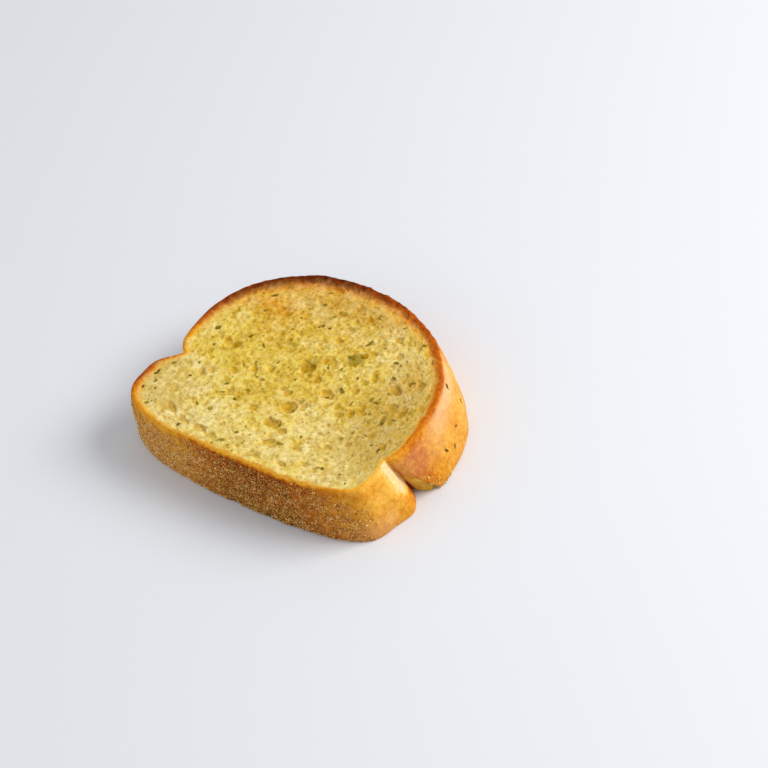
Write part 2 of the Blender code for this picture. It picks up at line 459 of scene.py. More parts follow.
@dataclass
class AirCells:
    """The open air cells of one cut face, carved into a grid of depths.

    Attributes:
        outline: the loaf that the face belongs to.
        seed: starts the random draws.
        named: the largest cells, each as middle X and Y, half length, half width and turn in degrees.
        kinds: the scattered cells, each as how many places to try, least and greatest half length.
        area: least and greatest X, then least and greatest Y, of those places.
        rareness: how much the small ones of a kind outnumber the large ones; 1 is evenly.
        pitch: the grid's spacing.
        corner: the grid's lowest X and Y.
        cells: the grid's number of steps along X and Y.
        depth_share: a cell's depth as a share of its half width.
        rim_clear: no cell opens nearer to the crust than this.
        stretch_reach: how far in from the crust cells are still drawn out along it.
        steepness: how steep a cell's sides are. 0.5 makes half a ball, and less a flatter floor.
        stray: how far a cell's edge strays from its oval.
        stray_spacing: distance between the bulges of such an edge.
        wall_blur: passes of the blur that finds the thin walls between cells.
        wall_height: a wall that stands this far out of the blurred crumb shows in full.
    """

    outline: Outline
    seed: int
    named: tuple = ()
    kinds: tuple = ((200, 1.0, 2.0), (1500, 0.6, 1.0), (2800, 0.4, 0.6))
    area: tuple = ((-60, 62), (-4, 98))
    rareness: float = 1.6
    pitch: float = 0.2
    corner: tuple[float, float] = (-64.0, -8.0)
    cells: tuple[int, int] = (680, 560)
    depth_share: float = 0.55
    rim_clear: float = 1.6
    stretch_reach: float = 14.0
    steepness: float = 0.42
    stray: float = 0.75
    stray_spacing: float = 2.2
    wall_blur: int = 4
    wall_height: float = 0.35

    def build(self) -> None:
        """Carve every cell, make it irregular, and mark the thin walls that stand between cells."""
        rng = np.random.default_rng(self.seed)
        self.depth = np.zeros((self.cells[1], self.cells[0]))
        for x, y, half_length, half_width, turn in self.named:
            self._carve(x, y, half_length, half_width, np.radians(turn))
        for count, least, greatest in self.kinds:
            self._scatter(rng, count, least, greatest)
        self.depth = self._bend(self.depth)
        blurred = self.depth
        for _ in range(self.wall_blur):
            blurred = self._blur(blurred)
        self.wall = np.clip((blurred - self.depth) / self.wall_height, 0, 1)

    def _scatter(self, rng: np.random.Generator, count: int, least: float, greatest: float) -> None:
        """Carve cells of one kind at random places of the face.

        Args:
            rng: source of the draws.
            count: how many places to try.
            least: smallest half length.
            greatest: largest half length.
        """
        x, y = (rng.uniform(low, high, count) for low, high in self.area)
        size = least * (greatest / least) ** rng.random(count) ** self.rareness
        spin = rng.normal(0, 0.5, count)
        length = rng.uniform(0.0, 1.0, count)
        face = np.zeros(count)
        inside = -self.outline.outside(x, y, face)
        step = 0.5
        rise_x = self.outline.outside(x + step, y, face) + inside
        rise_y = self.outline.outside(x, y + step, face) + inside
        along_crust = np.arctan2(rise_y, rise_x) + np.pi / 2
        near = np.exp(-np.maximum(inside, 0) / self.stretch_reach)
        for i in np.flatnonzero(inside > self.rim_clear + size * 0.6):
            slimness = np.sqrt(1.1 + 0.5 * length[i] + 1.5 * near[i] * length[i])
            turn = along_crust[i] + spin[i] * (1.3 - near[i])
            self._carve(x[i], y[i], size[i] * slimness, size[i] / slimness, turn)

    def _carve(self, x: float, y: float, half_length: float, half_width: float, turn: float) -> None:
        """Sink one bowl into the grid.

        Args:
            x: its middle along X.
            y: its middle along Y.
            half_length: half its length.
            half_width: half its width.
            turn: direction of its length, in radians.
        """
        column, row = (x - self.corner[0]) / self.pitch, (y - self.corner[1]) / self.pitch
        reach = int(half_length / self.pitch) + 2
        first_column, first_row = int(column) - reach, int(row) - reach
        rows = slice(max(first_row, 0), max(first_row + 2 * reach + 2, 0))
        columns = slice(max(first_column, 0), max(first_column + 2 * reach + 2, 0))
        window = self.depth[rows, columns]
        j, i = np.indices(window.shape)
        across, along = (i + columns.start - column) * self.pitch, (j + rows.start - row) * self.pitch
        long_way = (across * np.cos(turn) + along * np.sin(turn)) / half_length
        short_way = (along * np.cos(turn) - across * np.sin(turn)) / half_width
        bowl = np.clip(1 - long_way**2 - short_way**2, 0, 1) ** self.steepness
        np.maximum(window, self.depth_share * half_width * bowl, out=window)

    def _bend(self, grid: Array) -> Array:
        """Move a grid's values about a little, so that its ovals turn irregular.

        Args:
            grid: one value a step.

        Returns:
            The bent grid.
        """
        steps = (low + self.pitch * np.arange(count) for low, count in zip(self.corner, self.cells))
        x, y = (axis.ravel() for axis in np.meshgrid(*steps))
        points = as_points(x, y)
        aside, up = (self.stray * lumps(points, self.stray_spacing, seed) for seed in (51.0, 52.0))
        return self.sample(grid, x + aside, y + up).reshape(grid.shape)

    @staticmethod
    def _blur(grid: Array) -> Array:
        """Average each step of a grid with its neighbours.

        Args:
            grid: one value a step.

        Returns:
            The blurred grid.
        """
        padded = np.pad(grid, 1, mode="edge")
        rows = padded[:-2] + padded[1:-1] + padded[2:]
        return (rows[:, :-2] + rows[:, 1:-1] + rows[:, 2:]) / 9

    def sample(self, grid: Array, x: Array, y: Array) -> Array:
        """Read a grid at any places, evenly between its steps.

        Args:
            grid: depth or wall.
            x: places along X.
            y: places along Y.

        Returns:
            One value a place.
        """
        column = np.clip((x - self.corner[0]) / self.pitch, 0, self.cells[0] - 1.001)
        row = np.clip((y - self.corner[1]) / self.pitch, 0, self.cells[1] - 1.001)
        i, j = column.astype(int), row.astype(int)
        right, up = column - i, row - j
        lower = grid[j, i] * (1 - right) + grid[j, i + 1] * right
        upper = grid[j + 1, i] * (1 - right) + grid[j + 1, i + 1] * right
        return lower * (1 - up) + upper * up


# ---------------------------------------------------------------- how the crust was baked


@dataclass
class Baking:
    """How dark the crust is, and how wide it shows on the cut faces, at angles round the hub.

    Attributes:
        stops: each an angle in degrees, then the bake at the rim, halfway down the wall and at the
            back face, from 0, pale, to 1, nearly burnt, then the width of crust on the face.
        bare_at: degrees along the base, where the crumb runs out to the very rim.
        rim_fade: how far below the face the rim's bake gives way to the wall's.
        bare_fade: how much shorter that is along the base.
        left_fade: how much longer that is at the left corner.
    """
    stops: tuple = (
        (-169, 0.40, 0.42, 0.46, 1.8),
        (-163, 0.66, 0.66, 0.52, 3.2),
        (-155, 0.68, 0.66, 0.54, 3.8),
        (-147, 0.44, 0.38, 0.42, 2.9),
        # -138 and -123, the base's left end: paler crust, and lighter still as painted light on that side
        (-138, 0.31, 0.27, 0.35, 2.0),
        (-123, 0.33, 0.29, 0.46, 1.6),
        (-105, 0.34, 0.64, 0.76, 1.4),
        (-85, 0.36, 0.80, 0.94, 1.4),
        (-62, 0.34, 0.76, 0.88, 1.4),
        (-50, 0.40, 0.60, 0.72, 1.4),
        (-42, 0.45, 0.46, 0.58, 1.4),
        (-34, 0.34, 0.40, 0.48, 1.1),
        (-22, 0.18, 0.35, 0.43, 0.8),
        (-18, 0.36, 0.40, 0.43, 0.9),
        (-8, 0.50, 0.59, 0.57, 1.6),
        (4, 0.54, 0.40, 0.42, 2.4),
        (15, 0.58, 0.42, 0.44, 2.8),
        (35, 0.59, 0.36, 0.40, 3.4),
        (50, 0.62, 0.38, 0.41, 4.0),
        (72, 0.68, 0.55, 0.54, 5.4),
        (95, 0.82, 0.72, 0.58, 6.6),
        (115, 0.86, 0.76, 0.58, 6.4),
        (135, 0.88, 0.75, 0.56, 6.2),
        (155, 0.81, 0.66, 0.52, 5.2),
        (170, 0.66, 0.52, 0.47, 3.8),
        (182, 0.42, 0.44, 0.46, 1.8),
    )
    bare_at: Span = (-140, -122, -50, -36)
    rim_fade: float = 3.2
    bare_fade: float = 1.2
    left_fade: float = 2.8

    def _read(self, angle: Array, column: int) -> Array:
        """Read one column of the stops at any angles."""
        degrees = [stop[0] for stop in self.stops]
        return np.interp(np.degrees(angle), degrees, [stop[column] for stop in self.stops], period=360)

    def band(self, angle: Array) -> Array:
        """Width of the crust that shows on the cut face."""
        return self._read(angle, 4)

    def bare(self, angle: Array) -> Array:
        """How far the crumb runs out to the very rim, from 0 to 1."""
        return span(np.degrees(angle), *self.bare_at)

    def face(self, angle: Array, inside: Array) -> Array:
        """Bake of the cut face at a distance in from its rim."""
        band = self.band(angle)
        return self._read(angle, 1) * (1 - 0.7 * ramp(inside, 0.1 * band, 1.3 * band))

    def wall(self, angle: Array, below: Array, thickness: float) -> Array:
        """Bake of the crust's wall.

        Args:
            angle: places round the hub.
            below: distance below the buttered face.
            thickness: the slice's thickness.

        Returns:
            The bake of each place.
        """
        rim, middle, back = (self._read(angle, column) for column in (1, 2, 3))
        left = (1 - ramp(np.degrees(angle), -150.0, -105.0)) * (np.sin(angle) < 0)
        fade = self.rim_fade - self.bare_fade * self.bare(angle) + self.left_fade * left
        upper = rim + (middle - rim) * ramp(below, 0.0, fade)
        return upper + (back - middle) * ramp(below, 0.45 * thickness, thickness)


@dataclass(frozen=True)
class Patch:
    """A soft-edged patch on the buttered face: its middle, half its sizes, and how strong it is there."""

    x: float
    y: float
    half_width: float
    half_height: float
    strength: float

    def at(self, x: Array, y: Array) -> Array:
        """Strength of the patch at these places."""
        far = ((x - self.x) / self.half_width) ** 2 + ((y - self.y) / self.half_height) ** 2
        return self.strength * np.exp(-far)


# ---------------------------------------------------------------- finishes


ATTRIBUTE = "ShaderNodeAttribute"
BUMP = "ShaderNodeBump"
CELLS = "ShaderNodeTexVoronoi"
MATH = "ShaderNodeMath"
MIX = "ShaderNodeMix"
NOISE = "ShaderNodeTexNoise"
PLACE = "ShaderNodeTexCoord"
RAMP = "ShaderNodeValToRGB"
Socket = bpy.types.NodeSocket
Look = tuple[Socket, list, Socket, Socket]  # first colour, coats, relief in mm and roughness
BAKE_NOISE = 0.30  # what the crust's noises add to the bake on average, so its layer starts that much lower


@dataclass(frozen=True)
class BreadFinish:
    """Buttered white bread, baked in a tin and toasted under a grill.

    The crumb is matt foam that light sinks into, yellow where butter has soaked in. Its hollows are deeper
    yellow, and darker as painted shade; its thin walls are paler, partly as a painted highlight. The crust
    has browned sugars and a thin hard skin, so it is darker, with a soft gloss and a painted sheen on its
    right walls.
    """

    butter: tuple = ((0, "#fff2c4"), (0.4, "#fdea9e"), (0.7, "#f4d85c"), (0.9, "#e4c23c"), (1, "#b8a01a"))
    # pore: each small pore darker inside as painted shade, with a white ring round it as a painted
    # highlight
    pore: tuple = ((0, "#dac888"), (0.24, "#dfcf98"), (0.38, "#ffffff"), (0.55, "#fcf7e6"), (1, "#f6f0d8"))
    mottle: tuple = ((0, "#d2c092"), (0.36, "#e2d4ae"), (0.5, "#f2ead4"), (0.66, "#ffffff"), (1, "#ffffff"))
    web: tuple = ((0, "#bebebe"), (0.06, "#747474"), (0.17, "#000000"), (1, "#000000"))
    hollow: str = "#d6bc60"  # an air cell's inside: deeper yellow than the crumb round it, and darker as painted shade
    # the thin walls between cells: paler crumb, and a painted highlight where they stand out
    pale_wall_and_highlight: str = "#fff5cc"
    toasted: str = "#f4bc3a"
    crust: tuple = (
        (0, "#f6deb4"),
        (0.16, "#f6ca6a"),
        (0.30, "#f3b94e"),
        (0.44, "#e19728"),
        (0.57, "#c66a0c"),
        (0.70, "#a04a04"),
        (0.84, "#743202"),
        (1, "#381402"),
    )
    flour: str = "#e0a848"  # fine cornmeal dust on the base
    caramel: str = "#ffe67c"  # deepens the crust's yellow where its sugars browned most, near the rims
    painted_sheen: str = "#f6cea4"  # painted sheen: a pale haze on the crust's right walls, mostly the crown's side near the rim
    pores: tuple = ((2.6, 0.55), (1.3, 0.24))  # spacing in mm, and how strongly they show
    web_mm: float = 2.1  # spacing of the thin walls between pores, painted paler, partly as a highlight
    pore_reach: float = 0.36  # radius of the pores, as a share of their spacing
    wander_mm: float = 1.7  # how far the pores' walls stray
    relief_reach: float = 0.5  # depth of such a pore, as a share of its spacing
    dust_stops: tuple = ((0, "#000000"), (0.47, "#000000"), (0.62, "#ffffff"), (1, "#ffffff"))
    noises: tuple = (  # spacing in mm, and octaves
        ("butter", 7.0, 3.0),
        ("mottle", 2.4, 2.6),
        ("wrinkle", 1.6, 4.0),
        ("skin", 0.45, 2.0),
        ("dust", 0.5, 1.0),
    )
    shading: dict = field(
        default_factory=lambda: {
            "IOR": 1.45,
            "Specular IOR Level": 0.05,
            "Subsurface Weight": 0.12,
            "Subsurface Radius": (1.0, 0.75, 0.4),
            "Subsurface Scale": 1.2 * MM,
        }
    )

    def make(self) -> bpy.types.Material:
        """Make the material. It reads the layers that Slice writes.

        Returns:
            The material.
        """
        material, tree, shader = new_material("Buttered white bread, tin baked and grilled")
        names = ("crust", "bake", "caramel", "pit", "whiten", "butter", "pale", "toast", "meal")
        layer = {name: add_node(tree, ATTRIBUTE, attribute_name=name).outputs["Fac"] for name in names}
        place = add_node(tree, PLACE).outputs["Object"]
        noises = {}
        for name, spacing, detail in self.noises:
            inputs = {"Vector": place, "Scale": per_metre(spacing), "Detail": detail}
            noises[name] = add_node(tree, NOISE, inputs).outputs["Fac"]
        looks = []
        for lay in (self._crumb, self._crust):
            colour, coats, relief, rough = lay(tree, layer, noises)
            for share, tint, blend in coats:
                inputs = {0: share, 6: colour, 7: tint}
                colour = add_node(tree, MIX, inputs, data_type="RGBA", blend_type=blend).outputs[2]
            looks.append((colour, relief, rough))
        (crumb, foam, damp), (crust, skin, gloss) = looks
        colour = add_node(tree, MIX, {0: layer["crust"], 6: crumb, 7: crust}, data_type="RGBA").outputs[2]
        rough = add_node(tree, MIX, {0: layer["crust"], 2: damp, 3: gloss}, data_type="FLOAT").outputs[0]
        relief = add_node(tree, MIX, {0: layer["crust"], 2: foam, 3: skin}, data_type="FLOAT").outputs[0]
        bump = add_node(tree, BUMP, {"Height": relief, "Strength": 1.0, "Distance": MM}).outputs["Normal"]
        feed(tree, shader, {"Base Color": colour, "Roughness": rough, "Normal": bump, **self.shading})
        return material

    def _crumb(self, tree: bpy.types.NodeTree, layer: dict, noises: dict) -> Look:
        """Lay out the crumb: butter, then pores and hollows with painted shade and painted highlights, then
        toasting.

        Args:
            tree: the material's nodes.
            layer: outputs that read the mesh's layers.
            noises: outputs of the noises.

        Returns:
            Its first colour, its coats, its fine relief in millimetres and its roughness.
        """
        inputs = {0: noises["butter"], 1: 1.2, 2: layer["butter"]}
        soaked = add_node(tree, MATH, inputs, operation="MULTIPLY_ADD").outputs[0]
        colour = add_node(tree, RAMP, {"Fac": soaked}, stops=self.butter).outputs["Color"]
        # The pale layer lightens or darkens the mottle; on the right side of the crumb it is painted shade
        light = add_node(tree, MATH, {0: noises["mottle"], 1: layer["pale"]}, operation="ADD").outputs[0]
        mottle = add_node(tree, RAMP, {"Fac": light}, stops=self.mottle).outputs["Color"]
        coats = [(1.0, mottle, "MULTIPLY")]
        flow = add_node(tree, ATTRIBUTE, attribute_name="flow").outputs["Vector"]
        inputs = {"Vector": flow, "Scale": per_metre(2 * self.wander_mm), "Detail": 3.0}
        wander = add_node(tree, NOISE, inputs).outputs["Color"]
        inputs = {0: wander, 1: (self.wander_mm * MM,) * 3, 2: flow}
        bent = add_node(tree, "ShaderNodeVectorMath", inputs, operation="MULTIPLY_ADD").outputs[0]
        relief = 0.0
        # Pores: painted shade inside each, a painted highlight round its rim, and a little relief
        for spacing, strength in self.pores:
            inputs = {"Vector": bent, "Scale": per_metre(spacing)}
            far = add_node(tree, CELLS, inputs).outputs["Distance"]
            tint = add_node(tree, RAMP, {"Fac": far}, stops=self.pore).outputs["Color"]
            coats.append((strength, tint, "MULTIPLY"))
            bowl = add_node(tree, MATH, {0: far, 1: self.pore_reach}, operation="MINIMUM").outputs[0]
            inputs = {0: bowl, 1: self.relief_reach * spacing * strength, 2: relief}
            relief = add_node(tree, MATH, inputs, operation="MULTIPLY_ADD").outputs[0]
        # Thin walls between pores and cells, painted paler: partly paler crumb, partly a painted highlight
        inputs = {"Vector": bent, "Scale": per_metre(self.web_mm)}
        edge = add_node(tree, CELLS, inputs, feature="DISTANCE_TO_EDGE").outputs["Distance"]
        web = add_node(tree, RAMP, {"Fac": edge}, stops=self.web).outputs["Color"]
        steps = (("MULTIPLY", noises["mottle"]), ("SUBTRACT", layer["pit"]), ("MAXIMUM", layer["whiten"]))
        for operation, other in steps:
            web = add_node(tree, MATH, {0: web, 1: other}, operation=operation).outputs[0]
        # Air cells tinted towards the hollow colour: deeper yellow, and darker as painted shade
        coats.append((layer["pit"], linear(self.hollow), "MULTIPLY"))
        coats.append((web, linear(self.pale_wall_and_highlight), "MIX"))
        coats.append((layer["toast"], linear(self.toasted), "MULTIPLY"))
        inputs = {0: noises["mottle"], 1: 0.3, 2: relief}
        relief = add_node(tree, MATH, inputs, operation="MULTIPLY_ADD").outputs[0]
        damp = add_node(tree, MATH, {0: soaked, 1: -0.25, 2: 0.8}, operation="MULTIPLY_ADD").outputs[0]
        return colour, coats, relief, damp

    def _crust(self, tree: bpy.types.NodeTree, layer: dict, noises: dict) -> Look:
        """Lay out the crust: its bake, uneven from wrinkles, then a painted sheen and cornmeal dust.

        Args:
            tree: the material's nodes.
            layer: outputs that read the mesh's layers.
            noises: outputs of the noises.

        Returns:
            Its first colour, its coats, its fine relief in millimetres and its roughness.
        """
        uneven = layer["bake"]
        for name, strength in (("wrinkle", 0.34), ("skin", 0.26)):
            inputs = {0: noises[name], 1: strength, 2: uneven}
            uneven = add_node(tree, MATH, inputs, operation="MULTIPLY_ADD").outputs[0]
        colour = add_node(tree, RAMP, {"Fac": uneven}, stops=self.crust).outputs["Color"]
        # The painted sheen on the crust's right walls, speckled by the skin noise
        haze = layer["whiten"]
        for factor in (noises["skin"], 2.0):
            haze = add_node(tree, MATH, {0: haze, 1: factor}, operation="MULTIPLY").outputs[0]
        dust = add_node(tree, RAMP, {"Fac": noises["dust"]}, stops=self.dust_stops).outputs["Color"]
        dust = add_node(tree, MATH, {0: dust, 1: layer["meal"]}, operation="MULTIPLY").outputs[0]
        coats = [
            (layer["caramel"], linear(self.caramel), "MULTIPLY"),
            (haze, linear(self.painted_sheen), "MIX"),
            (dust, linear(self.flour), "MIX"),
        ]
        inputs = {0: noises["skin"], 1: 0.5, 2: noises["wrinkle"]}
        relief = add_node(tree, MATH, inputs, operation="MULTIPLY_ADD").outputs[0]
        relief = add_node(tree, MATH, {0: relief, 1: 0.42}, operation="MULTIPLY").outputs[0]
        inputs = {0: noises["wrinkle"], 1: 0.3, 2: 0.3}
        gloss = add_node(tree, MATH, inputs, operation="MULTIPLY_ADD").outputs[0]
        return colour, coats, relief, gloss


@dataclass(frozen=True)
class HerbFinish:
    """Dried parsley and oregano, soaked in butter and darkened by the grill.

    Dull olive to brown, a little paler along the veins, with a faint oily shine.
    """

    tones: tuple = ((0, "#6c4a12"), (0.3, "#887018"), (0.6, "#a08a1a"), (0.85, "#b8a02a"), (1, "#ac6e20"))
    vein_mm: float = 0.35  # spacing of the veins
    vein_depth: float = 0.1 * MM

    def make(self) -> bpy.types.Material:
        """Make the material. It reads the tone that HerbFlakes writes.

        Returns:
            The material.
        """
        material, tree, shader = new_material("Dried parsley in butter")
        place = add_node(tree, PLACE).outputs["Object"]
        inputs = {"Vector": place, "Scale": per_metre(self.vein_mm), "Detail": 2.0}
        veins = add_node(tree, NOISE, inputs).outputs["Fac"]
        tone = add_node(tree, ATTRIBUTE, attribute_name="tone").outputs["Fac"]
        tone = add_node(tree, MATH, {0: veins, 1: 0.22, 2: tone}, operation="MULTIPLY_ADD").outputs[0]
        tone = add_node(tree, MATH, {0: tone, 1: 0.11}, operation="SUBTRACT").outputs[0]
        colour = add_node(tree, RAMP, {"Fac": tone}, stops=self.tones).outputs["Color"]
        inputs = {"Height": veins, "Strength": 0.5, "Distance": self.vein_depth}
        bump = add_node(tree, BUMP, inputs).outputs["Normal"]
        oily = {"Roughness": 0.6, "Specular IOR Level": 0.12}
        feed(tree, shader, {"Base Color": colour, "Normal": bump, **oily})
        return material


@dataclass(frozen=True)
class GrainFinish:
    """Cornmeal, coarsely milled, and crumbs, both lightly toasted.

    Pale gold to tan grit, each grain one tone, with a dry waxy surface.
    """

    name: str
    tones: tuple
    grit_mm: float = 0.25  # spacing of the specks on a grain

    def make(self) -> bpy.types.Material:
        """Make the material. It reads the tone that each grain was given.

        Returns:
            The material.
        """
        material, tree, shader = new_material(self.name)
        place = add_node(tree, PLACE).outputs["Object"]
        grit = add_node(tree, NOISE, {"Vector": place, "Scale": per_metre(self.grit_mm)}).outputs["Fac"]
        tone = add_node(tree, ATTRIBUTE, attribute_name="tone").outputs["Fac"]
        tone = add_node(tree, MATH, {0: grit, 1: 0.16, 2: tone}, operation="MULTIPLY_ADD").outputs[0]
        colour = add_node(tree, RAMP, {"Fac": tone}, stops=self.tones).outputs["Color"]
        feed(tree, shader, {"Base Color": colour, "Roughness": 0.6})
        return material


CORNMEAL = GrainFinish(
    "Coarse cornmeal, toasted",
    ((0, "#7e4212"), (0.3, "#bc7624"), (0.6, "#e2a23c"), (0.85, "#f6be5e"), (1, "#ffda94")),
)
CRUMBS = GrainFinish("Dry bread crumbs", ((0, "#b07a2c"), (0.5, "#e0b562"), (1, "#f5e2ae")))


# ---------------------------------------------------------------- the slice itself

# The largest air cells of the buttered face: middle X and Y, half length, half width, turn in degrees.
LARGE_CELLS = (
    (1.5, 49.5, 3.2, 2.8, 50),
    (6.5, 30.0, 3.5, 3.0, 30),
    (5.5, 20.5, 4.2, 2.4, 5),
    (11.0, 12.0, 3.8, 2.0, 10),
    (-18.0, 5.0, 3.6, 1.9, -5),
    (-26.5, 5.5, 3.6, 1.4, -20),
    (-34.5, 8.5, 3.9, 1.3, -30),
    (16.0, 42.0, 3.0, 2.4, -15),
    (39.0, 55.5, 3.4, 2.0, -25),
    (-19.0, 26.5, 2.8, 1.3, -50),
    (28.0, 57.0, 2.6, 1.4, -60),
    (30.0, 38.0, 2.5, 1.7, -80),
    (-32.0, 46.5, 2.4, 1.7, 65),
    (8.0, 46.5, 2.5, 1.3, -60),
    (9.0, 4.5, 3.3, 1.2, -14),
    (-6.0, 23.5, 2.0, 1.9, 27),
    (1.5, 35.5, 2.0, 1.8, 27),
    (11.5, 32.5, 2.0, 1.5, -80),
    (42.5, 48.0, 1.8, 1.4, 27),
    (21.0, 5.5, 2.7, 1.2, -10),
    (-22.0, 55.0, 1.8, 1.4, 26),
    (18.0, 64.5, 1.7, 1.4, 27),
    (38.0, 25.0, 1.8, 1.3, 53),
)


@dataclass
class Slice:
    """The bread: a closed skin with its crumb, crust, rims and creases, in two pieces.

    Its noises are Waves, with strengths in millimetres unless they say otherwise.

    Attributes:
        outline: the loaf's section.
        baking: how dark the crust is.
        across: mesh squares along each side of the buttered face.
        courses: rows of squares round the crust.
        crowding: how much the courses crowd towards the rims, below 1.
        dish: how far the crumb has shrunk below its rim, in a broad hollow.
        dish_power: how flat the hollow's middle is.
        rim_step: how far the crumb lies below the crust next to it.
        rim_rounding: radius of the crust where it turns over onto the faces.
        back_relief: most that the back face's cells sink in.
        swells: broad unevenness of the crust.
        blisters: blisters of the crown's wall.
        blisters_at: where they are.
        rim_blisters: blisters of the crust that shows on the buttered face.
        rim_blisters_at: where they are.
        fine: faint wrinkles all over the crust.
        grit: roughness of the base.
        grit_at: where it is.
        threads: how far the threads of torn crumb stand out.
        thread_size: spacing of the threads, along X and Y and down the wall.
        fraying: how far the edges of a torn crease wander, in radians.
        ragged: how far the torn patch's upper edge wanders up and down.
        crumb: unevenness of the crumb between its cells.
        wander: how far the crust's edge on the faces strays from an even band, as a share of it.
        mottled_at: where the crust on the faces is mottled.
        right_at: the right side, where the crust is smooth and pale.
        butter: patches that have soaked up more butter, or less.
        paleness_and_shade: patches of paler crumb, or darker; the two dark ones on the right are painted
            shade.
        toasting: patches that the grill has caught.
    """

    outline: Outline
    baking: Baking = field(default_factory=Baking)
    across: int = 300
    courses: int = 38
    crowding: float = 0.75
    dish: float = 1.5
    dish_power: float = 2.4
    rim_step: float = 0.5
    rim_rounding: float = 0.9
    back_relief: float = 0.7
    swells: Waves = ((0.55, 17.0, 0.0), (0.4, 7.0, 0.0))
    blisters: Waves = ((0.32, 2.6, 7.0), (0.15, 1.3, 9.0))
    blisters_at: Span = (25, 60, 145, 165)
    rim_blisters: Waves = ((0.55, 2.8, 13.0), (0.3, 1.4, 14.0))
    rim_blisters_at: Span = (20, 60, 150, 170)
    fine: Waves = ((0.10, 2.2, 3.0), (0.05, 1.1, 4.0))
    grit: Waves = ((0.14, 1.4, 5.0), (0.10, 0.8, 6.0))
    grit_at: Span = (-150, -138, -52, -42)
    threads: float = 0.35
    thread_size: tuple[float, float, float] = (0.7, 0.7, 3.0)
    fraying: Waves = ((0.018, 2.6, 36.0), (0.016, 1.1, 37.0))
    ragged: Waves = ((1.1, 3.0, 2.0), (0.7, 1.0, 3.0))
    crumb: Waves = ((0.10, 1.6, 11.0), (0.25, 6.0, 12.0))
    wander: Waves = ((0.8, 4.0, 21.0), (0.5, 1.5, 22.0))
    mottled_at: Span = (30, 70, 150, 170)
    right_at: Span = (-60, -44, 20, 50)
    butter: tuple = (
        Patch(-20, 48, 30, 26, 0.26),
        Patch(4, 62, 24, 20, 0.16),
        Patch(16.2, 60.7, 2.6, 3.2, 0.8),
        Patch(-33, 46, 8, 5, 0.2),
        Patch(24, 44, 16, 8, 0.16),
        Patch(-6, 30, 16, 8, 0.12),
        Patch(10, 12, 30, 8, -0.04),
        Patch(-40, 14, 14, 10, -0.02),
    )
    paleness_and_shade: tuple = (
        # The first two, on the right side of the crumb, are painted shade.
        Patch(46, 50, 14, 24, -0.36),
        Patch(49, 31, 12, 14, -0.44),
        Patch(4, 84, 30, 9, -0.2),
        Patch(-28, 40, 16, 20, 0.07),
        Patch(-12, 14, 26, 8, 0.03),
        Patch(-44, 14, 14, 13, -0.2),
        Patch(12, 16, 20, 9, 0.02),
    )
    toasting: tuple = (
        Patch(-31, 71, 14, 6, 0.88),
        Patch(-14, 82, 20, 5, 0.5),
        Patch(16, 84, 16, 5, 0.35),
        Patch(-24, 60, 9, 6, 0.3),
        Patch(4, 70, 16, 7, 0.18),
        Patch(45, 60, 6, 12, 0.2),
    )

    def __post_init__(self) -> None:
        """Carve both faces' air cells."""
        self.cells = AirCells(self.outline, seed=3, named=LARGE_CELLS)
        self.cells.build()
        self.back_cells = AirCells(self.outline, seed=8, kinds=((240, 1.2, 2.6), (500, 0.8, 1.2)))
        self.back_cells.build()

    # The crust's wall

    def _around(self, angle: Array, below: Array | float) -> Array:
        """Places for the crust's noises, on an even tube round the hub."""
        reach = self.outline.crown.half_width[0]
        return as_points(np.cos(angle) * reach, np.sin(angle) * reach, below)

    def relief(self, angle: Array, depth: Array) -> Array:
        """Broad unevenness of the crust: how far each place stands out."""
        return waves(self._around(angle, depth * self.outline.thickness), self.swells)

    def wrinkles(self, angle: Array, depth: Array) -> Array:
        """Fine unevenness: blisters on the crown, faint wrinkles, grit on the base, and torn threads.

        Args:
            angle: places round the hub.
            depth: shares of the thickness.

        Returns:
            How far each place stands out.
        """
        below = depth * self.outline.thickness
        around = self._around(angle, below)
        degrees = np.degrees(angle)
        near_rim = 1 - 0.7 * ramp(below, 1.0, 6.0)
        blister = span(degrees, *self.blisters_at) * near_rim * waves(around, self.blisters)
        grit = span(degrees, *self.grit_at) * waves(around, self.grit)
        threads = self.threads * lumps(around, np.array(self.thread_size), 8.0) * self.torn(angle, depth)
        return blister + waves(around, self.fine) + grit + threads

    def torn(self, angle: Array, depth: Array) -> Array:
        """Say where the crust is stretched or torn open, so that pale crumb shows.

        Args:
            angle: places round the hub.
            depth: shares of the thickness.

        Returns:
            1 where it is torn, 0 where it is whole.
        """
        outline = self.outline
        frayed = waves(self._around(angle, depth * outline.thickness), self.fraying)
        right = outline.right.past(angle, depth)
        widest = between((0.075, 0.115), np.sin(np.pi * np.clip(depth / 0.8, 0, 1)))
        shred = ramp(right + frayed, -widest, -widest * 0.6) * (1 - ramp(right, -0.004, 0.012))
        shred *= (1 - ramp(depth + 1.5 * frayed, 0.58, 0.76)) * (np.cos(angle) > 0)
        left = outline.left.past(angle, depth)
        gap = (1 - ramp(np.abs(left + 0.015 + 0.8 * frayed), 0.03, 0.065)) * (np.cos(angle) < 0)
        gap *= 1 - 0.7 * ramp(depth + 2 * frayed, 0.55, 0.95)
        return np.clip(shred + gap + self.patch_torn(angle, depth), 0, 1)

    def patch_torn(self, angle: Array, depth: Array) -> Array:
        """The torn patch beside the right crease, with its ragged upper edge."""
        return self.outline.tear(angle, depth, waves(self._around(angle, 0.0), self.ragged))

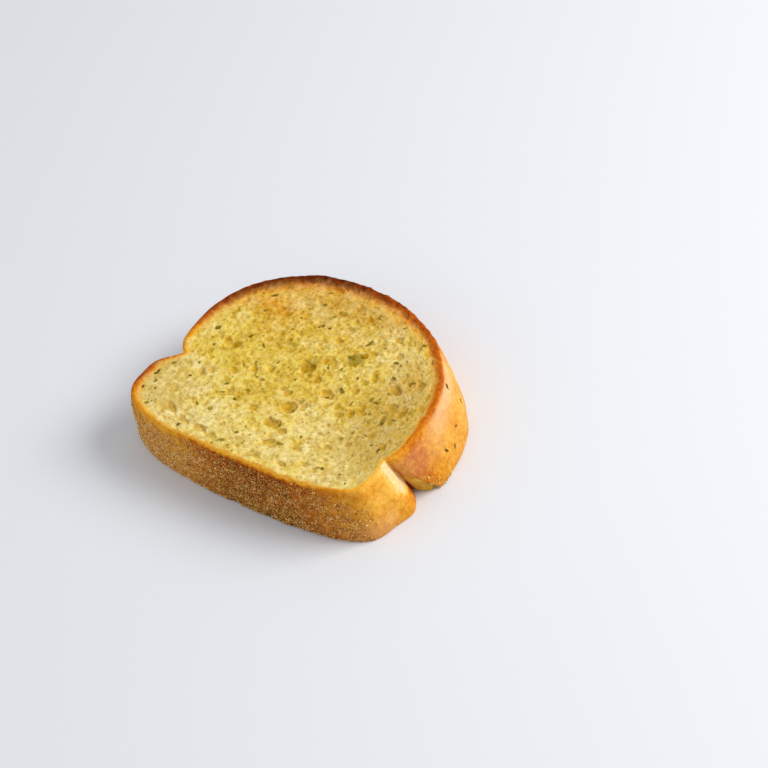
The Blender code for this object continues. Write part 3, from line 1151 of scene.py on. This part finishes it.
    def reach(self, angle: Array, depth: Array) -> Array:
        """Find how far the finished crust lies from the hub.

        Args:
            angle: places round the hub.
            depth: shares of the thickness.

        Returns:
            The distance for each place.
        """
        outline = self.outline
        from_face = np.minimum(depth, 1 - depth) * outline.thickness
        rounding = self.rim_rounding * (1 - 0.45 * self.baking.bare(angle) * (depth < 0.5))
        short = np.maximum(0.0, 1 - from_face / rounding)
        inset = rounding * (1 - np.sqrt(1 - short**2))
        smooth = outline.radius(angle, depth) + self.relief(angle, depth) - inset
        smooth -= outline.tear_depth * self.patch_torn(angle, depth)
        groove = self._groove(angle, depth, 0.012) * ramp(depth, 0.0, 0.3)
        return smooth + self.wrinkles(angle, depth) - groove

    def _groove(self, angle: Array, depth: Array, width: float) -> Array:
        """The sharp groove in the right crease's bottom, as a share, for its width in radians."""
        past = self.outline.right.past(angle, depth)
        return np.exp(-((past / width) ** 2)) * (np.cos(angle) > 0)

    # The cut faces

    def top(self, x: Array, y: Array, share: Array | None = None) -> Array:
        """Find the height of the buttered face.

        Args:
            x: places along the base.
            y: places above the base.
            share: how far out each place is, from 0 at the hub to 1 at the rim, if known.

        Returns:
            The height for each place.
        """
        angle, reach = self.outline.polar(x, y)
        rim = self.outline.radius(angle, np.zeros_like(angle))
        share = reach / rim if share is None else share
        inside = rim * (1 - share)
        points = as_points(x, y)
        bare, band = self.baking.bare(angle), self.baking.band(angle)
        open_crumb = ramp(inside, 0.5 - 0.5 * bare, 2.5 - 1.5 * bare)
        on_crust = 1 - ramp(inside, 0.6 * band, 1.3 * band)
        blistered = span(np.degrees(angle), *self.rim_blisters_at) * on_crust
        blister = blistered * waves(points, self.rim_blisters)
        uneven = blister + waves(points, self.crumb) * (0.4 + 0.6 * open_crumb)
        pits = self.cells.sample(self.cells.depth, x, y) * open_crumb
        step = self.rim_step * np.minimum(band / 3.0, 1.0)
        sunk = self.dish * (1 - np.clip(share, 0, 1) ** self.dish_power) + step * ramp(inside, 0.4, 3.0)
        return self.outline.thickness - sunk - pits + ramp(inside, 0.0, 0.6) * uneven

    def back(self, x: Array, y: Array, share: Array) -> Array:
        """Height of the back face, which is flat apart from its cells."""
        inset = ramp(1 - share, 0.01, 0.04)
        return np.minimum(self.back_cells.sample(self.back_cells.depth, x, y), self.back_relief) * inset

    # The mesh

    @staticmethod
    def _disc(count: int) -> tuple[Array, Array]:
        """Spread a square grid over a disc.

        Args:
            count: squares along each side.

        Returns:
            Angle and share of the radius for each grid point, row by row.
        """
        u, v = np.meshgrid(np.linspace(-1, 1, count + 1), np.linspace(-1, 1, count + 1))
        x, y = (u * np.sqrt(1 - v * v / 2)).ravel(), (v * np.sqrt(1 - u * u / 2)).ravel()
        return np.arctan2(y, x), np.minimum(np.hypot(x, y), 1.0)

    @staticmethod
    def _border(count: int, first: int) -> Array:
        """Number the border points of a square grid, anticlockwise from its first corner.

        Args:
            count: squares along each side.
            first: number of the grid's first point.

        Returns:
            The numbers in order.
        """
        row = count + 1
        low = np.arange(count)
        right = count + row * np.arange(count)
        high = row * count + count - np.arange(count)
        left = row * (count - np.arange(count))
        return first + np.concatenate((low, right, high, left))

    @staticmethod
    def _squares(count: int, first: int) -> Array:
        """Number the corners of each square of a grid, anticlockwise seen from above.

        Args:
            count: squares along each side.
            first: number of the grid's first point.

        Returns:
            Four numbers for each square.
        """
        row = count + 1
        start = (np.arange(count)[:, None] * row + np.arange(count)).ravel() + first
        return np.stack((start, start + 1, start + 1 + row, start + row), axis=1)

    def build(self) -> None:
        """Build the skin with its layers, then part it into the buttered face and the crust."""
        outline = self.outline

        # The buttered face, a square grid spread over the outline
        angle, share = self._disc(self.across)
        x, y = outline.place(angle, share * self.reach(angle, np.zeros_like(angle)))
        top = as_points(x, y, self.top(x, y, share))
        rim = self._border(self.across, 0)
        top[rim, 2] = outline.thickness
        face_layers = self._face_layers(angle, share, x, y, self.cells)

        # The wall, in courses that crowd towards its two rims
        turns = np.linspace(1, -1, self.courses + 1)[1:]
        squeeze = self.crowding * np.pi / 2
        depths = (1 - np.sin(turns * squeeze) / np.sin(squeeze)) / 2
        depth = np.repeat(depths, len(rim))
        angle = self._pulled(np.tile(angle[rim], len(depths)), depth)
        x, y = outline.place(angle, self.reach(angle, depth))
        wall = as_points(x, y, (1 - depth) * outline.thickness)
        wall_layers = self._wall_layers(angle, depth, x, y)

        # The back face, with squares of twice the size and a seam of triangles round it
        angle, share = self._disc(self.across // 2)
        deepest = np.ones_like(angle)
        angle = self._pulled(angle, deepest)
        share = share * (1 - 3.0 / self.across)
        x, y = outline.place(angle, share * self.reach(angle, deepest))
        back = as_points(x, y, self.back(x, y, share))
        back_layers = self._face_layers(angle, share, x, y, self.back_cells, buttered=False)

        points = self.to_frame(np.concatenate((top, wall, back)))
        parts = (face_layers, wall_layers, back_layers)
        layers = {name: np.concatenate([part[name] for part in parts]) for name in face_layers}
        layers["flow"] = layers["flow"] * MM
        self._part(points, self._faces(rim, len(top), len(top) + len(wall)), layers)

    def _pulled(self, angle: Array, depth: Array) -> Array:
        """Bend the mesh's lines along both creases."""
        return angle + self.outline.right.pull(angle, depth) + self.outline.left.pull(angle, depth)

    def _part(self, points: Array, faces: list, layers: dict[str, Array]) -> None:
        """Part the skin into two pieces that share their normals, so that no seam shows.

        Args:
            points: the skin's points in the frame.
            faces: its faces, those of the buttered face first.
            layers: its layers.
        """
        skin = bpy.data.meshes.new("skin")
        skin.from_pydata(points.tolist(), [], faces)
        normals = np.empty(points.size, dtype=np.float32)
        skin.vertices.foreach_get("normal", normals)
        normals = normals.reshape(-1, 3)
        bpy.data.meshes.remove(skin)
        bread = BreadFinish().make()
        squares = self.across**2
        for name, chosen in (("crumb_face", faces[:squares]), ("crust", faces[squares:])):
            used, numbers = np.unique(np.concatenate(chosen), return_inverse=True)
            ends = np.cumsum([len(face) for face in chosen])[:-1]
            renumbered = [part.tolist() for part in np.split(numbers, ends)]
            own_layers = {layer: values[used] for layer, values in layers.items()}
            make_piece(name, points[used], renumbered, own_layers, bread, normals[used])

    def _faces(self, rim: Array, wall_start: int, back_start: int) -> list:
        """Join the buttered face, the courses of the wall and the back face.

        Args:
            rim: the buttered face's border points.
            wall_start: number of the wall's first point.
            back_start: number of the back face's first point.

        Returns:
            Every face's points.
        """
        around = len(rim)
        rings = [rim] + [wall_start + course * around + np.arange(around) for course in range(self.courses)]
        faces = self._squares(self.across, 0).tolist()
        for upper, lower in zip(rings, rings[1:]):
            quads = np.stack((np.roll(upper, -1), upper, lower, np.roll(lower, -1)), axis=1)
            faces += quads.tolist()
        half = self.across // 2
        faces += self._squares(half, back_start)[:, ::-1].tolist()
        inner = self._border(half, back_start)
        outer = rings[-1]
        after = np.roll(inner, -1)
        faces += np.stack((outer[1::2], outer[::2], inner), axis=1).tolist()
        faces += np.stack((outer[1::2], inner, after), axis=1).tolist()
        faces += np.stack((np.roll(outer, -2)[::2], outer[1::2], after), axis=1).tolist()
        return faces

    def _face_layers(
        self,
        angle: Array,
        share: Array,
        x: Array,
        y: Array,
        cells: AirCells,
        buttered: bool = True,
    ) -> dict[str, Array]:
        """Work out a cut face's layers.

        Args:
            angle: its points' angles round the hub.
            share: how far out they are, from 0 to 1.
            x: their X.
            y: their Y.
            cells: the air cells of this face.
            buttered: whether it is the buttered face.

        Returns:
            One array for each layer. Here whiten is the thin walls between cells, painted paler partly as a
            highlight.
        """
        rim = self.outline.radius(angle, np.zeros_like(angle))
        inside = rim * (1 - share)
        points = as_points(x, y)
        wander = waves(points, self.wander)
        bare, band = self.baking.bare(angle), self.baking.band(angle)
        mottling = 0.13 * span(np.degrees(angle), *self.mottled_at) * lumps(points, 2.6, 25.0)
        stray = (0.75 - 0.35 * bare) * np.minimum(band, 2.0) * wander
        crusty = 1 - ramp(inside + stray, 0.0, (1.6 - 1.2 * bare) * band)
        pit = np.clip(cells.sample(cells.depth, x, y) / 0.7, 0, 1)
        if buttered:
            # pale: patches of paler or darker crumb; the dark ones on the right are painted shade
            patches = (self.butter, self.paleness_and_shade, self.toasting)
            butter, pale, toast = (sum(patch.at(x, y) for patch in kind) for kind in patches)
            butter = butter - 0.15
            toast = toast * (0.8 + 0.4 * lumps(points, 5.0, 23.0))
            toast = toast + 0.9 * bare * (1 - ramp(inside + wander, 0.0, 2.8))
            caramel = 0.9 - 0.4 * bare
        else:
            butter, pale, caramel = (np.full_like(x, value) for value in (-0.3, 0.0, 0.2))
            toast = 0.15 + 0.3 * lumps(points, 9.0, 24.0)
        return {
            "crust": crusty,
            "bake": self.baking.face(angle, inside) + mottling - BAKE_NOISE,
            "caramel": caramel,
            # pit: the carved air cells made darker, partly as painted shade
            "pit": 0.6 * pit * (1 - crusty),
            # whiten: the thin walls between cells, paler partly as a painted highlight
            "whiten": 0.34 * cells.sample(cells.wall, x, y) * (1 - crusty),
            "butter": butter,
            "pale": pale,
            "toast": np.clip(toast, 0, 1),
            "meal": np.zeros_like(x),
            "flow": self._flow(angle, inside, x, y),
        }

    def _wall_layers(self, angle: Array, depth: Array, x: Array, y: Array) -> dict[str, Array]:
        """Work out the wall's layers.

        Args:
            angle: its points' angles round the hub.
            depth: their shares of the thickness.
            x: their X.
            y: their Y.

        Returns:
            One array for each layer. Here whiten is a painted sheen on the crust.
        """
        below = depth * self.outline.thickness
        points = as_points(x, y, below)
        degrees = np.degrees(angle)
        torn, tear = self.torn(angle, depth), self.patch_torn(angle, depth)
        cover = Cornmeal.cover(angle, below)
        right_wall = span(degrees, *self.right_at)
        bake = self.baking.wall(angle, below, self.outline.thickness)
        bake += (0.08 - 0.05 * right_wall) * lumps(points, 8.0, 31.0)
        bake += 0.07 * lumps(points, 3.0, 32.0)
        bake += 0.2 * self.baking.bare(angle) * (1 - ramp(below, 1.0, 4.0)) * lumps(points, 1.8, 35.0)
        bake += 0.16 * cover * lumps(points, 4.0, 33.0)
        # Painted shade: the bake darker along the narrow groove in the right crease's bottom
        bake += 0.25 * self._groove(angle, depth, 0.02) * ramp(depth, 0.02, 0.2)
        # Painted sheen: a pale haze where the crust's right walls would catch a reflection, strongest on
        # the crown's side
        crown_side = span(degrees, 0, 14, 30, 48) * (1 - 0.9 * ramp(below, 4.0, 11.0))
        painted_sheen = 0.5 * crown_side * (1 + 0.5 * lumps(points, 7.0, 34.0)) * ramp(below, 0.3, 2.0)
        painted_sheen += 0.13 * span(degrees, -22, -14, 4, 14) * span(below, 1.0, 4.0, 9.0, 18.0)
        painted_sheen += 0.18 * span(degrees, -46, -36, -26, -20) * ramp(below, 13.0, 20.0)
        left = (1 - ramp(degrees, -125, -105)) * (degrees < 0)
        caramel = (0.9 - 0.6 * right_wall) * (1 - 0.7 * ramp(below, 3.0 + 3.0 * left, 10.0 + 5.0 * left))
        return {
            "crust": 1 - tear,
            "bake": np.where(tear > 0.5, bake, bake * (1 - torn) + 0.07 * torn) - BAKE_NOISE,
            "caramel": caramel * (1 - torn),
            "pit": 0.05 * tear,
            "whiten": np.clip(painted_sheen, 0, 1) * (1 - torn),
            "butter": 0.32 * tear - 0.15,
            "pale": 0.1 * tear,
            "toast": 0.5 * tear,
            "meal": 0.58 * cover,
            "flow": points,
        }

    def _flow(self, angle: Array, inside: Array, x: Array, y: Array) -> Array:
        """Stretch the face's places so that an even foam laid on them flattens towards the crust.

        Args:
            angle: places round the hub.
            inside: their distance in from the crust.
            x: their X.
            y: their Y.

        Returns:
            Where each place lies in the even foam.
        """
        pushed = 6.0 * np.exp(-inside / 8.0)
        squashed = 10.0 * np.exp(-np.maximum(y, 0) / 10.0)
        return as_points(x + pushed * np.cos(angle), y + pushed * np.sin(angle) - squashed)

    # Places for the toppings

    def wall_places(self, angle: Array, below: Array) -> Array:
        """Find places on the crust's wall.

        Args:
            angle: their angles round the hub.
            below: their distances below the buttered face.

        Returns:
            One row for each.
        """
        depth = np.clip(below / self.outline.thickness, 0.001, 0.999)
        x, y = self.outline.place(angle, self.reach(angle, depth))
        return as_points(x, y, (1 - depth) * self.outline.thickness)

    def wall_frame(self, angle: Array, below: Array) -> tuple[Array, Array]:
        """Find places on the crust's wall with the directions along, up and out of it.

        Args:
            angle: places round the hub.
            below: their distances below the buttered face.

        Returns:
            The places, and for each three rows: along the crust, across it, and out of it.
        """
        step_round, step_down = 0.012, 0.5
        along = self.wall_places(angle + step_round, below) - self.wall_places(angle - step_round, below)
        along /= np.linalg.norm(along, axis=1, keepdims=True)
        down = self.wall_places(angle, below + step_down) - self.wall_places(angle, below - step_down)
        out = np.cross(down, along)
        out /= np.linalg.norm(out, axis=1, keepdims=True)
        return self.wall_places(angle, below), np.stack((along, np.cross(out, along), out), axis=1)

    def origin(self) -> Array:
        """Find the frame's origin in the sculpting classes' millimetres.

        Returns:
            Its X, Y and Z.
        """
        steps_round, steps_down = 721, 27
        angle = np.tile(np.linspace(-np.pi, np.pi, steps_round), steps_down)
        depth = np.repeat(np.linspace(0, 1, steps_down), steps_round)
        places = self.outline.place(angle, self.outline.radius(angle, depth) + self.relief(angle, depth))
        low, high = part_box(NODE)
        middle = [
            (axis.min() + axis.max()) / 2 - (least + greatest) / 2 / MM
            for axis, least, greatest in zip(places, low, high)
        ]
        return np.array((*middle, -low[2] / MM))

    def to_frame(self, points: Array) -> Array:
        """Take points to the frame and its metres."""
        return (points - self.origin()) * MM


# ---------------------------------------------------------------- toppings

STRETCH = (0.75, 1.3)  # least and greatest stretch of a grain along its own axes


class Herb(Enum):
    """Kinds of flake in the herb mix: how many, least and greatest length, width over length."""

    LEAF = (52, 1.0, 1.9, 0.6)
    STEM = (18, 1.2, 2.2, 0.3)
    SPECK = (30, 0.4, 0.8, 0.7)


# The largest flakes on the face: middle X and Y, length, width, turn in degrees, and tone.
LARGE_FLAKES = (
    (-51.0, 20.0, 3.4, 1.4, 74, 0.05),
    (-45.0, 5.0, 3.4, 1.4, 27, 0.45),
    (-51.5, 11.5, 1.9, 1.3, -75, 0.1),
    (-43.3, 50.0, 2.4, 1.4, 40, 0.3),
    (-48.0, 27.0, 1.8, 1.2, 27, 0.55),
    (-13.5, 30.0, 2.0, 1.3, -6, 0.6),
    (-20.5, 15.0, 2.1, 1.4, 27, 0.75),
    (-6.5, 4.0, 3.2, 1.6, 53, 0.5),
    (20.5, 46.0, 3.1, 1.2, -32, 0.35),
    (33.5, 47.5, 2.0, 1.1, -71, 0.5),
    (27.5, 42.5, 1.9, 1.0, 66, 0.55),
    (37.0, 41.0, 2.5, 1.0, -63, 0.6),
    (44.0, 39.5, 3.2, 1.4, -72, 0.45),
    (46.5, 28.5, 1.7, 1.1, 27, 0.4),
    (50.5, 27.5, 2.0, 1.2, -72, 0.15),
    (35.5, 60.0, 2.2, 1.3, -7, 0.4),
    (43.5, 61.0, 2.0, 1.4, 40, 0.3),
    (27.0, 53.0, 1.8, 1.1, 27, 0.7),
    (31.5, 67.0, 2.5, 1.0, 14, 0.4),
    (16.5, 70.5, 3.4, 1.1, 67, 0.35),
    (-11.5, 79.5, 1.8, 1.0, 2, 0.4),
    (-33.0, 74.5, 3.1, 1.1, 40, 0.2),
    (-31.5, 66.5, 2.0, 1.0, 40, 0.35),
    (12.5, 84.0, 2.2, 1.0, -63, 0.4),
)


@dataclass
class HerbFlakes:
    """Dried herb leaves, stems and specks, lying on the buttered face and a few on the crust.

    Attributes:
        bread: the slice that they lie on.
        seed: starts the random draws.
        thickness: a flake's thickness.
        lift: how far a flake's middle lies above the crumb.
        crust_lift: how far it stands off the crust.
        rows: points along a flake.
        columns: points across it.
        on_crust: flakes on the wall: angle in degrees, distance below the face, length, width, turn, tone.
    """

    bread: Slice
    seed: int = 5
    thickness: float = 0.14
    lift: float = 0.10
    crust_lift: float = 0.08
    rows: int = 6
    columns: int = 4
    on_crust: tuple = (
        (26, 3.3, 3.0, 1.2, 70, 0.0),
        (28, 14.2, 1.9, 0.8, 80, 0.05),
        (16, 13.7, 1.4, 0.8, 0, 0.1),
        (10, 17.7, 2.2, 0.9, 70, 0.0),
        (5.5, 14.7, 2.0, 0.8, 110, 0.05),
        (-118, 15.0, 2.2, 1.5, 20, 0.02),
        (-140, 6.0, 1.6, 1.2, 50, 0.4),
        (150, 8.0, 2.0, 1.0, 60, 0.3),
        (96, 11.0, 1.8, 1.0, 20, 0.3),
    )

    def _leaf(self, length: float, width: float, rng: np.random.Generator) -> Array:
        """Shape one flake lying flat, top layer first and then the bottom layer.

        Args:
            length: its length.
            width: its greatest width.
            rng: source of the draws.

        Returns:
            Its points.
        """
        along = np.linspace(-1, 1, self.rows)
        belly = (1 - np.abs(along) ** 2.2) ** 0.6 * rng.uniform(0.5, 1.25, self.rows) + 0.12
        u, v = np.meshgrid(along, np.linspace(-1, 1, self.columns), indexing="ij")
        x = u * length / 2 + rng.normal(0, 0.03 * length, u.shape)
        y = v * belly[:, None] * width / 2 + rng.normal(0, 0.05 * width, u.shape)
        curl, fold, twist = rng.normal(0, 0.10), rng.uniform(0.0, 0.30), rng.normal(0, 0.12)
        z = curl * length * u**2 + fold * width * np.abs(v) + twist * width * u * v
        upper = np.stack((x, y, z), axis=2).reshape(-1, 3)
        lower = upper * (0.9, 0.9, 1.0) - (0, 0, self.thickness)
        return np.concatenate((upper, lower))

    def _leaf_faces(self) -> Array:
        """Number the faces of one flake: top, bottom and edge.

        Returns:
            Four point numbers for each face.
        """
        grid = np.arange(self.rows * self.columns).reshape(self.rows, self.columns)
        top = np.stack((grid[:-1, :-1], grid[1:, :-1], grid[1:, 1:], grid[:-1, 1:]), axis=2).reshape(-1, 4)
        under = grid.size
        edge = np.concatenate((grid[:-1, 0], grid[-1, :-1], grid[:0:-1, -1], grid[0, :0:-1]))
        after = np.roll(edge, -1)
        side = np.stack((after, edge, edge + under, after + under), axis=1)
        return np.concatenate((top, top[:, ::-1] + under, side))

    def _draws(self, rng: np.random.Generator) -> list[tuple]:
        """Draw the scattered flakes.

        Args:
            rng: source of the draws.

        Returns:
            Each flake in the form of LARGE_FLAKES.
        """
        drawn = []
        for herb in Herb:
            count, least, greatest, slender = herb.value
            for _ in range(count):
                angle = rng.uniform(-np.pi, np.pi)
                share = 0.95 * np.sqrt(rng.random())
                rim = self.bread.outline.radius(np.array([angle]), np.zeros(1))[0]
                x, y = self.bread.outline.place(angle, share * rim)
                length = rng.uniform(least, greatest)
                width = length * slender * rng.uniform(0.8, 1.25)
                drawn.append((x, y, length, width, rng.uniform(0, 180), rng.beta(2, 2.4)))
        return drawn

    def build(self) -> None:
        """Build all flakes as one piece."""
        rng = np.random.default_rng(self.seed)
        clusters, tones = [], []
        for x, y, length, width, turn, tone in (*LARGE_FLAKES, *self._draws(rng)):
            around = 0.3 * length
            spots = np.array(((x, y), (x + around, y), (x - around, y), (x, y + around), (x, y - around)))
            height = np.median(self.bread.top(spots[:, 0], spots[:, 1]))
            tilt = Matrix.Rotation(np.radians(turn), 3, "Z") @ Matrix.Rotation(rng.normal(0, 0.14), 3, "X")
            leaf = self._leaf(length, width, rng) @ np.array(tilt).T
            clusters.append(leaf + (x, y, height + self.lift))
            tones.append(tone)
        for degrees, below, length, width, turn, tone in self.on_crust:
            clusters.append(self._stuck(degrees, below, self._leaf(length, width, rng), turn))
            tones.append(tone)
        pattern = self._leaf_faces()
        size = len(clusters[0])
        faces = np.concatenate([pattern + size * number for number in range(len(clusters))]).tolist()
        points = self.bread.to_frame(np.concatenate(clusters))
        make_piece("herb_flakes", points, faces, {"tone": np.repeat(tones, size)}, HerbFinish().make())

    def _stuck(self, degrees: float, below: float, leaf: Array, turn: float) -> Array:
        """Stand a flake against the crust's wall.

        Args:
            degrees: its angle round the hub.
            below: its distance below the buttered face.
            leaf: its points, lying flat.
            turn: its turn on the wall, in degrees.

        Returns:
            Its points in place.
        """
        centre, axes = self.bread.wall_frame(np.radians([degrees]), np.array([below]))
        spun = leaf @ np.array(Matrix.Rotation(np.radians(turn), 3, "Z")).T
        return centre[0] + spun @ axes[0] + axes[0][2] * self.crust_lift


def grains(centres: Array, sizes: Array, rng: np.random.Generator) -> tuple[Array, list]:
    """Make rough grains, each a jittered solid of six corners.

    Args:
        centres: their middles.
        sizes: their radii.
        rng: source of the draws.

    Returns:
        Their points, and the faces' point numbers.
    """
    corners = np.concatenate((np.eye(3), -np.eye(3)))
    centres[:, 2] = np.maximum(centres[:, 2], sizes * max(STRETCH))
    upper = ((0, 1, 2), (1, 3, 2), (3, 4, 2), (4, 0, 2))
    triangles = upper + tuple((second, first, 5) for first, second, _ in upper)
    count = len(centres)
    spin = rng.normal(size=(count, 4))
    w, x, y, z = (spin / np.linalg.norm(spin, axis=1, keepdims=True)).T
    turn = (
        (1 - 2 * (y * y + z * z), 2 * (x * y - z * w), 2 * (x * z + y * w)),
        (2 * (x * y + z * w), 1 - 2 * (x * x + z * z), 2 * (y * z - x * w)),
        (2 * (x * z - y * w), 2 * (y * z + x * w), 1 - 2 * (x * x + y * y)),
    )
    stretch = rng.uniform(*STRETCH, (count, 1, 3))
    jitter = rng.uniform(0.8, 1.2, (count, 6, 1))
    shaped = corners[None] * jitter * stretch * sizes[:, None, None]
    points = (np.einsum("ijn,nkj->nki", np.array(turn), shaped) + centres[:, None]).reshape(-1, 3)
    faces = (np.array(triangles)[None] + 6 * np.arange(count)[:, None, None]).reshape(-1, 3)
    return points, faces.tolist()


@dataclass
class Cornmeal:
    """Coarse cornmeal that the dough stood on, stuck all over the base of the crust.

    Attributes:
        bread: the slice.
        count: how many grains to try.
        seed: starts the random draws.
        radius: the usual radius of a grain.
        spread: how much radii vary, as a logarithm.
        limits: least and greatest radius.
    """

    bread: Slice
    count: int = 21000
    seed: int = 17
    radius: float = 0.25
    spread: float = 0.36
    limits: tuple[float, float] = (0.12, 0.5)

    @staticmethod
    def cover(angle: Array, below: Array) -> Array:
        """Say how thickly the wall is covered.

        Args:
            angle: places round the hub.
            below: distances below the buttered face.

        Returns:
            From 0, bare, to 1, covered.
        """
        degrees = np.degrees(angle)
        bare_rim = 0.5 + 8.0 * ramp(degrees, -46, -31) + (1 - ramp(degrees, -130, -100))
        dense = ramp(below, bare_rim, bare_rim + 2.2) * (0.6 + 0.4 * ramp(below, 4.0, 10.0))
        return span(degrees, -164, -142, -39, -28) * dense

    def build(self) -> None:
        """Build all grains as one piece."""
        rng = np.random.default_rng(self.seed)
        outline = self.bread.outline
        table = np.radians(np.linspace(-170, -30, 1400))
        x, y = outline.place(table, outline.radius(table, np.full_like(table, 0.5)))
        run = np.concatenate(([0], np.cumsum(np.hypot(np.diff(x), np.diff(y)))))
        angle = np.interp(rng.random(self.count) * run[-1], run, table)
        below = rng.uniform(0.4, outline.thickness - 0.3, self.count)
        clump = lumps(as_points(angle * 50, below), 3.0, 41.0)
        left = 1 - ramp(np.degrees(angle), -125, -100)
        keep = rng.random(self.count) < self.cover(angle, below) * (0.62 + 0.35 * left + clump)
        angle, below = angle[keep], below[keep]
        sizes = np.clip(rng.lognormal(np.log(self.radius), self.spread, len(angle)), *self.limits)
        centre, axes = self.bread.wall_frame(angle, below)
        centre = centre + axes[:, 2] * (sizes * rng.uniform(0.0, 0.6, len(sizes)))[:, None]
        points, faces = grains(centre, sizes, rng)
        # Grains at the left are paler: partly their own tone, partly painted light on that side of the base
        tones = np.clip(rng.beta(1.7, 1.7, len(sizes)) + 0.12 * left[keep], 0, 1)
        layers = {"tone": np.repeat(tones, 6)}
        make_piece("cornmeal_grains", self.bread.to_frame(points), faces, layers, CORNMEAL.make())


@dataclass
class LooseCrumbs:
    """Crumbs that cling to the torn creases.

    Attributes:
        bread: the slice.
        seed: starts the random draws.
        spots: where they cling: least and greatest angle in degrees, least and greatest distance
            below the face, and how many.
        radius: the usual radius of a crumb.
        spread: how much radii vary, as a logarithm.
        limits: least and greatest radius.
    """

    bread: Slice
    seed: int = 23
    spots: tuple = ((-176, -163, 0.3, 24, 90), (-8, -3, 15.0, 24.0, 34), (-5, 4, 24.3, 25.6, 36))
    radius: float = 0.26
    spread: float = 0.4
    limits: tuple[float, float] = (0.14, 0.6)

    def build(self) -> None:
        """Build all crumbs as one piece."""
        rng = np.random.default_rng(self.seed)
        centres, sizes = [], []
        for first, last, high, low, count in self.spots:
            angle = np.radians(rng.uniform(first, last, count))
            radii = np.clip(rng.lognormal(np.log(self.radius), self.spread, count), *self.limits)
            centre, axes = self.bread.wall_frame(angle, rng.uniform(high, low, count))
            centres.append(centre + axes[:, 2] * 0.2 * radii[:, None])
            sizes.append(radii)
        points, faces = grains(np.concatenate(centres), np.concatenate(sizes), rng)
        layers = {"tone": np.repeat(rng.uniform(0.1, 0.75, len(points) // 6), 6)}
        make_piece("loose_crumbs", self.bread.to_frame(points), faces, layers, CRUMBS.make())


# ---------------------------------------------------------------- the studio


@dataclass(frozen=True)
class Lamp:
    """A square soft light: its name, its direction from the slice, its watts, and its side in metres."""

    name: str
    towards: tuple[float, float, float]
    power: float
    size: float


@dataclass
class Studio:
    """A pale floor, a large soft key light from the back right, a weak fill, and the camera.

    Attributes:
        bread: the slice, which gives the places below their start.
        camera_place: where the camera stands.
        camera_aim: a point in the middle of its view.
        camera_up: the direction that is up in its view.
        lens: focal length on a 36 mm sensor.
        lamps: the lights.
        lamp_distance: how far they hang from the slice, in metres.
        floor_size: side of the floor, in metres.
        floor_colour: the floor's paper.
        sky_colour: the light from all round.
        sky_strength: how strong that is.
    """

    bread: Slice
    camera_place: tuple = (405.5, -321.8, 615.1)
    camera_aim: tuple = (16.2, 73.3, -2.4)
    camera_up: tuple = (-0.342, 0.679, 0.650)
    lens: float = 97.5
    lamps: tuple = (
        Lamp("key", (0.72, 0.55, 0.75), 14.5, 0.75),
        Lamp("fill", (-0.6, -0.9, 0.8), 2.0, 1.5),
    )
    lamp_distance: float = 1.35
    floor_size: float = 6.0
    floor_colour: str = "#e9ebee"
    sky_colour: str = "#eef2f7"
    sky_strength: float = 0.55

    def build(self) -> None:
        """Set up floor, lights and camera."""
        self._floor()
        for lamp in self.lamps:
            self._light(lamp)
        self._camera()
        world = bpy.data.worlds.new("Soft studio surround")
        world.use_nodes = True
        tree = world.node_tree
        sky = {"Color": linear(self.sky_colour), "Strength": self.sky_strength}
        feed(tree, tree.nodes["Background"], sky)
        bpy.context.scene.world = world
        bpy.context.scene.view_settings.view_transform = "Standard"
        LOG.info("studio: floor, %d lights and camera", len(self.lamps))

    def _floor(self) -> None:
        """Lay the floor, a wide sheet of white paper."""
        mesh = bpy.data.meshes.new("floor")
        half = self.floor_size / 2
        corners = [(-half, -half, 0), (half, -half, 0), (half, half, 0), (-half, half, 0)]
        mesh.from_pydata(corners, [], [(0, 1, 2, 3)])
        floor = bpy.data.objects.new("floor", mesh)
        bpy.context.scene.collection.objects.link(floor)
        # Matt paper: an even pale ground whose only marks are the slice's soft shadow and bounce
        material, tree, shader = new_material("Matt white paper sweep")
        feed(tree, shader, {"Base Color": linear(self.floor_colour), "Roughness": 0.85})
        mesh.materials.append(material)

    def _light(self, lamp: Lamp) -> None:
        """Hang a square light that faces the slice.

        Args:
            lamp: what it is and where it hangs.
        """
        bulb = bpy.data.lights.new(lamp.name, "AREA")
        bulb.energy = lamp.power
        bulb.size = lamp.size
        light = bpy.data.objects.new(lamp.name, bulb)
        direction = Vector(lamp.towards).normalized()
        turn = direction.to_track_quat("Z", "Y")
        light.matrix_world = Matrix.LocRotScale(direction * self.lamp_distance, turn, None)
        bpy.context.scene.collection.objects.link(light)

    def _camera(self) -> None:
        """Place the camera."""
        camera = bpy.data.objects.new("camera", bpy.data.cameras.new("camera"))
        back = (Vector(self.camera_place) - Vector(self.camera_aim)).normalized()
        up = Vector(self.camera_up)
        up = (up - back * up.dot(back)).normalized()
        axes = Matrix((up.cross(back), up, back)).transposed()
        place = Vector(self.bread.to_frame(np.array(self.camera_place)))
        camera.matrix_world = Matrix.LocRotScale(place, axes, None)
        camera.data.lens = self.lens
        bpy.context.scene.collection.objects.link(camera)
        bpy.context.scene.camera = camera


def main() -> None:
    """Build every piece in order, dress it and set up the studio."""
    logging.basicConfig(level=logging.INFO, format="%(name)s: %(message)s")
    bread = Slice(Outline())
    bread.build()
    HerbFlakes(bread).build()
    Cornmeal(bread).build()
    LooseCrumbs(bread).build()
    Studio(bread).build()


if __name__ == "__main__":
    main()
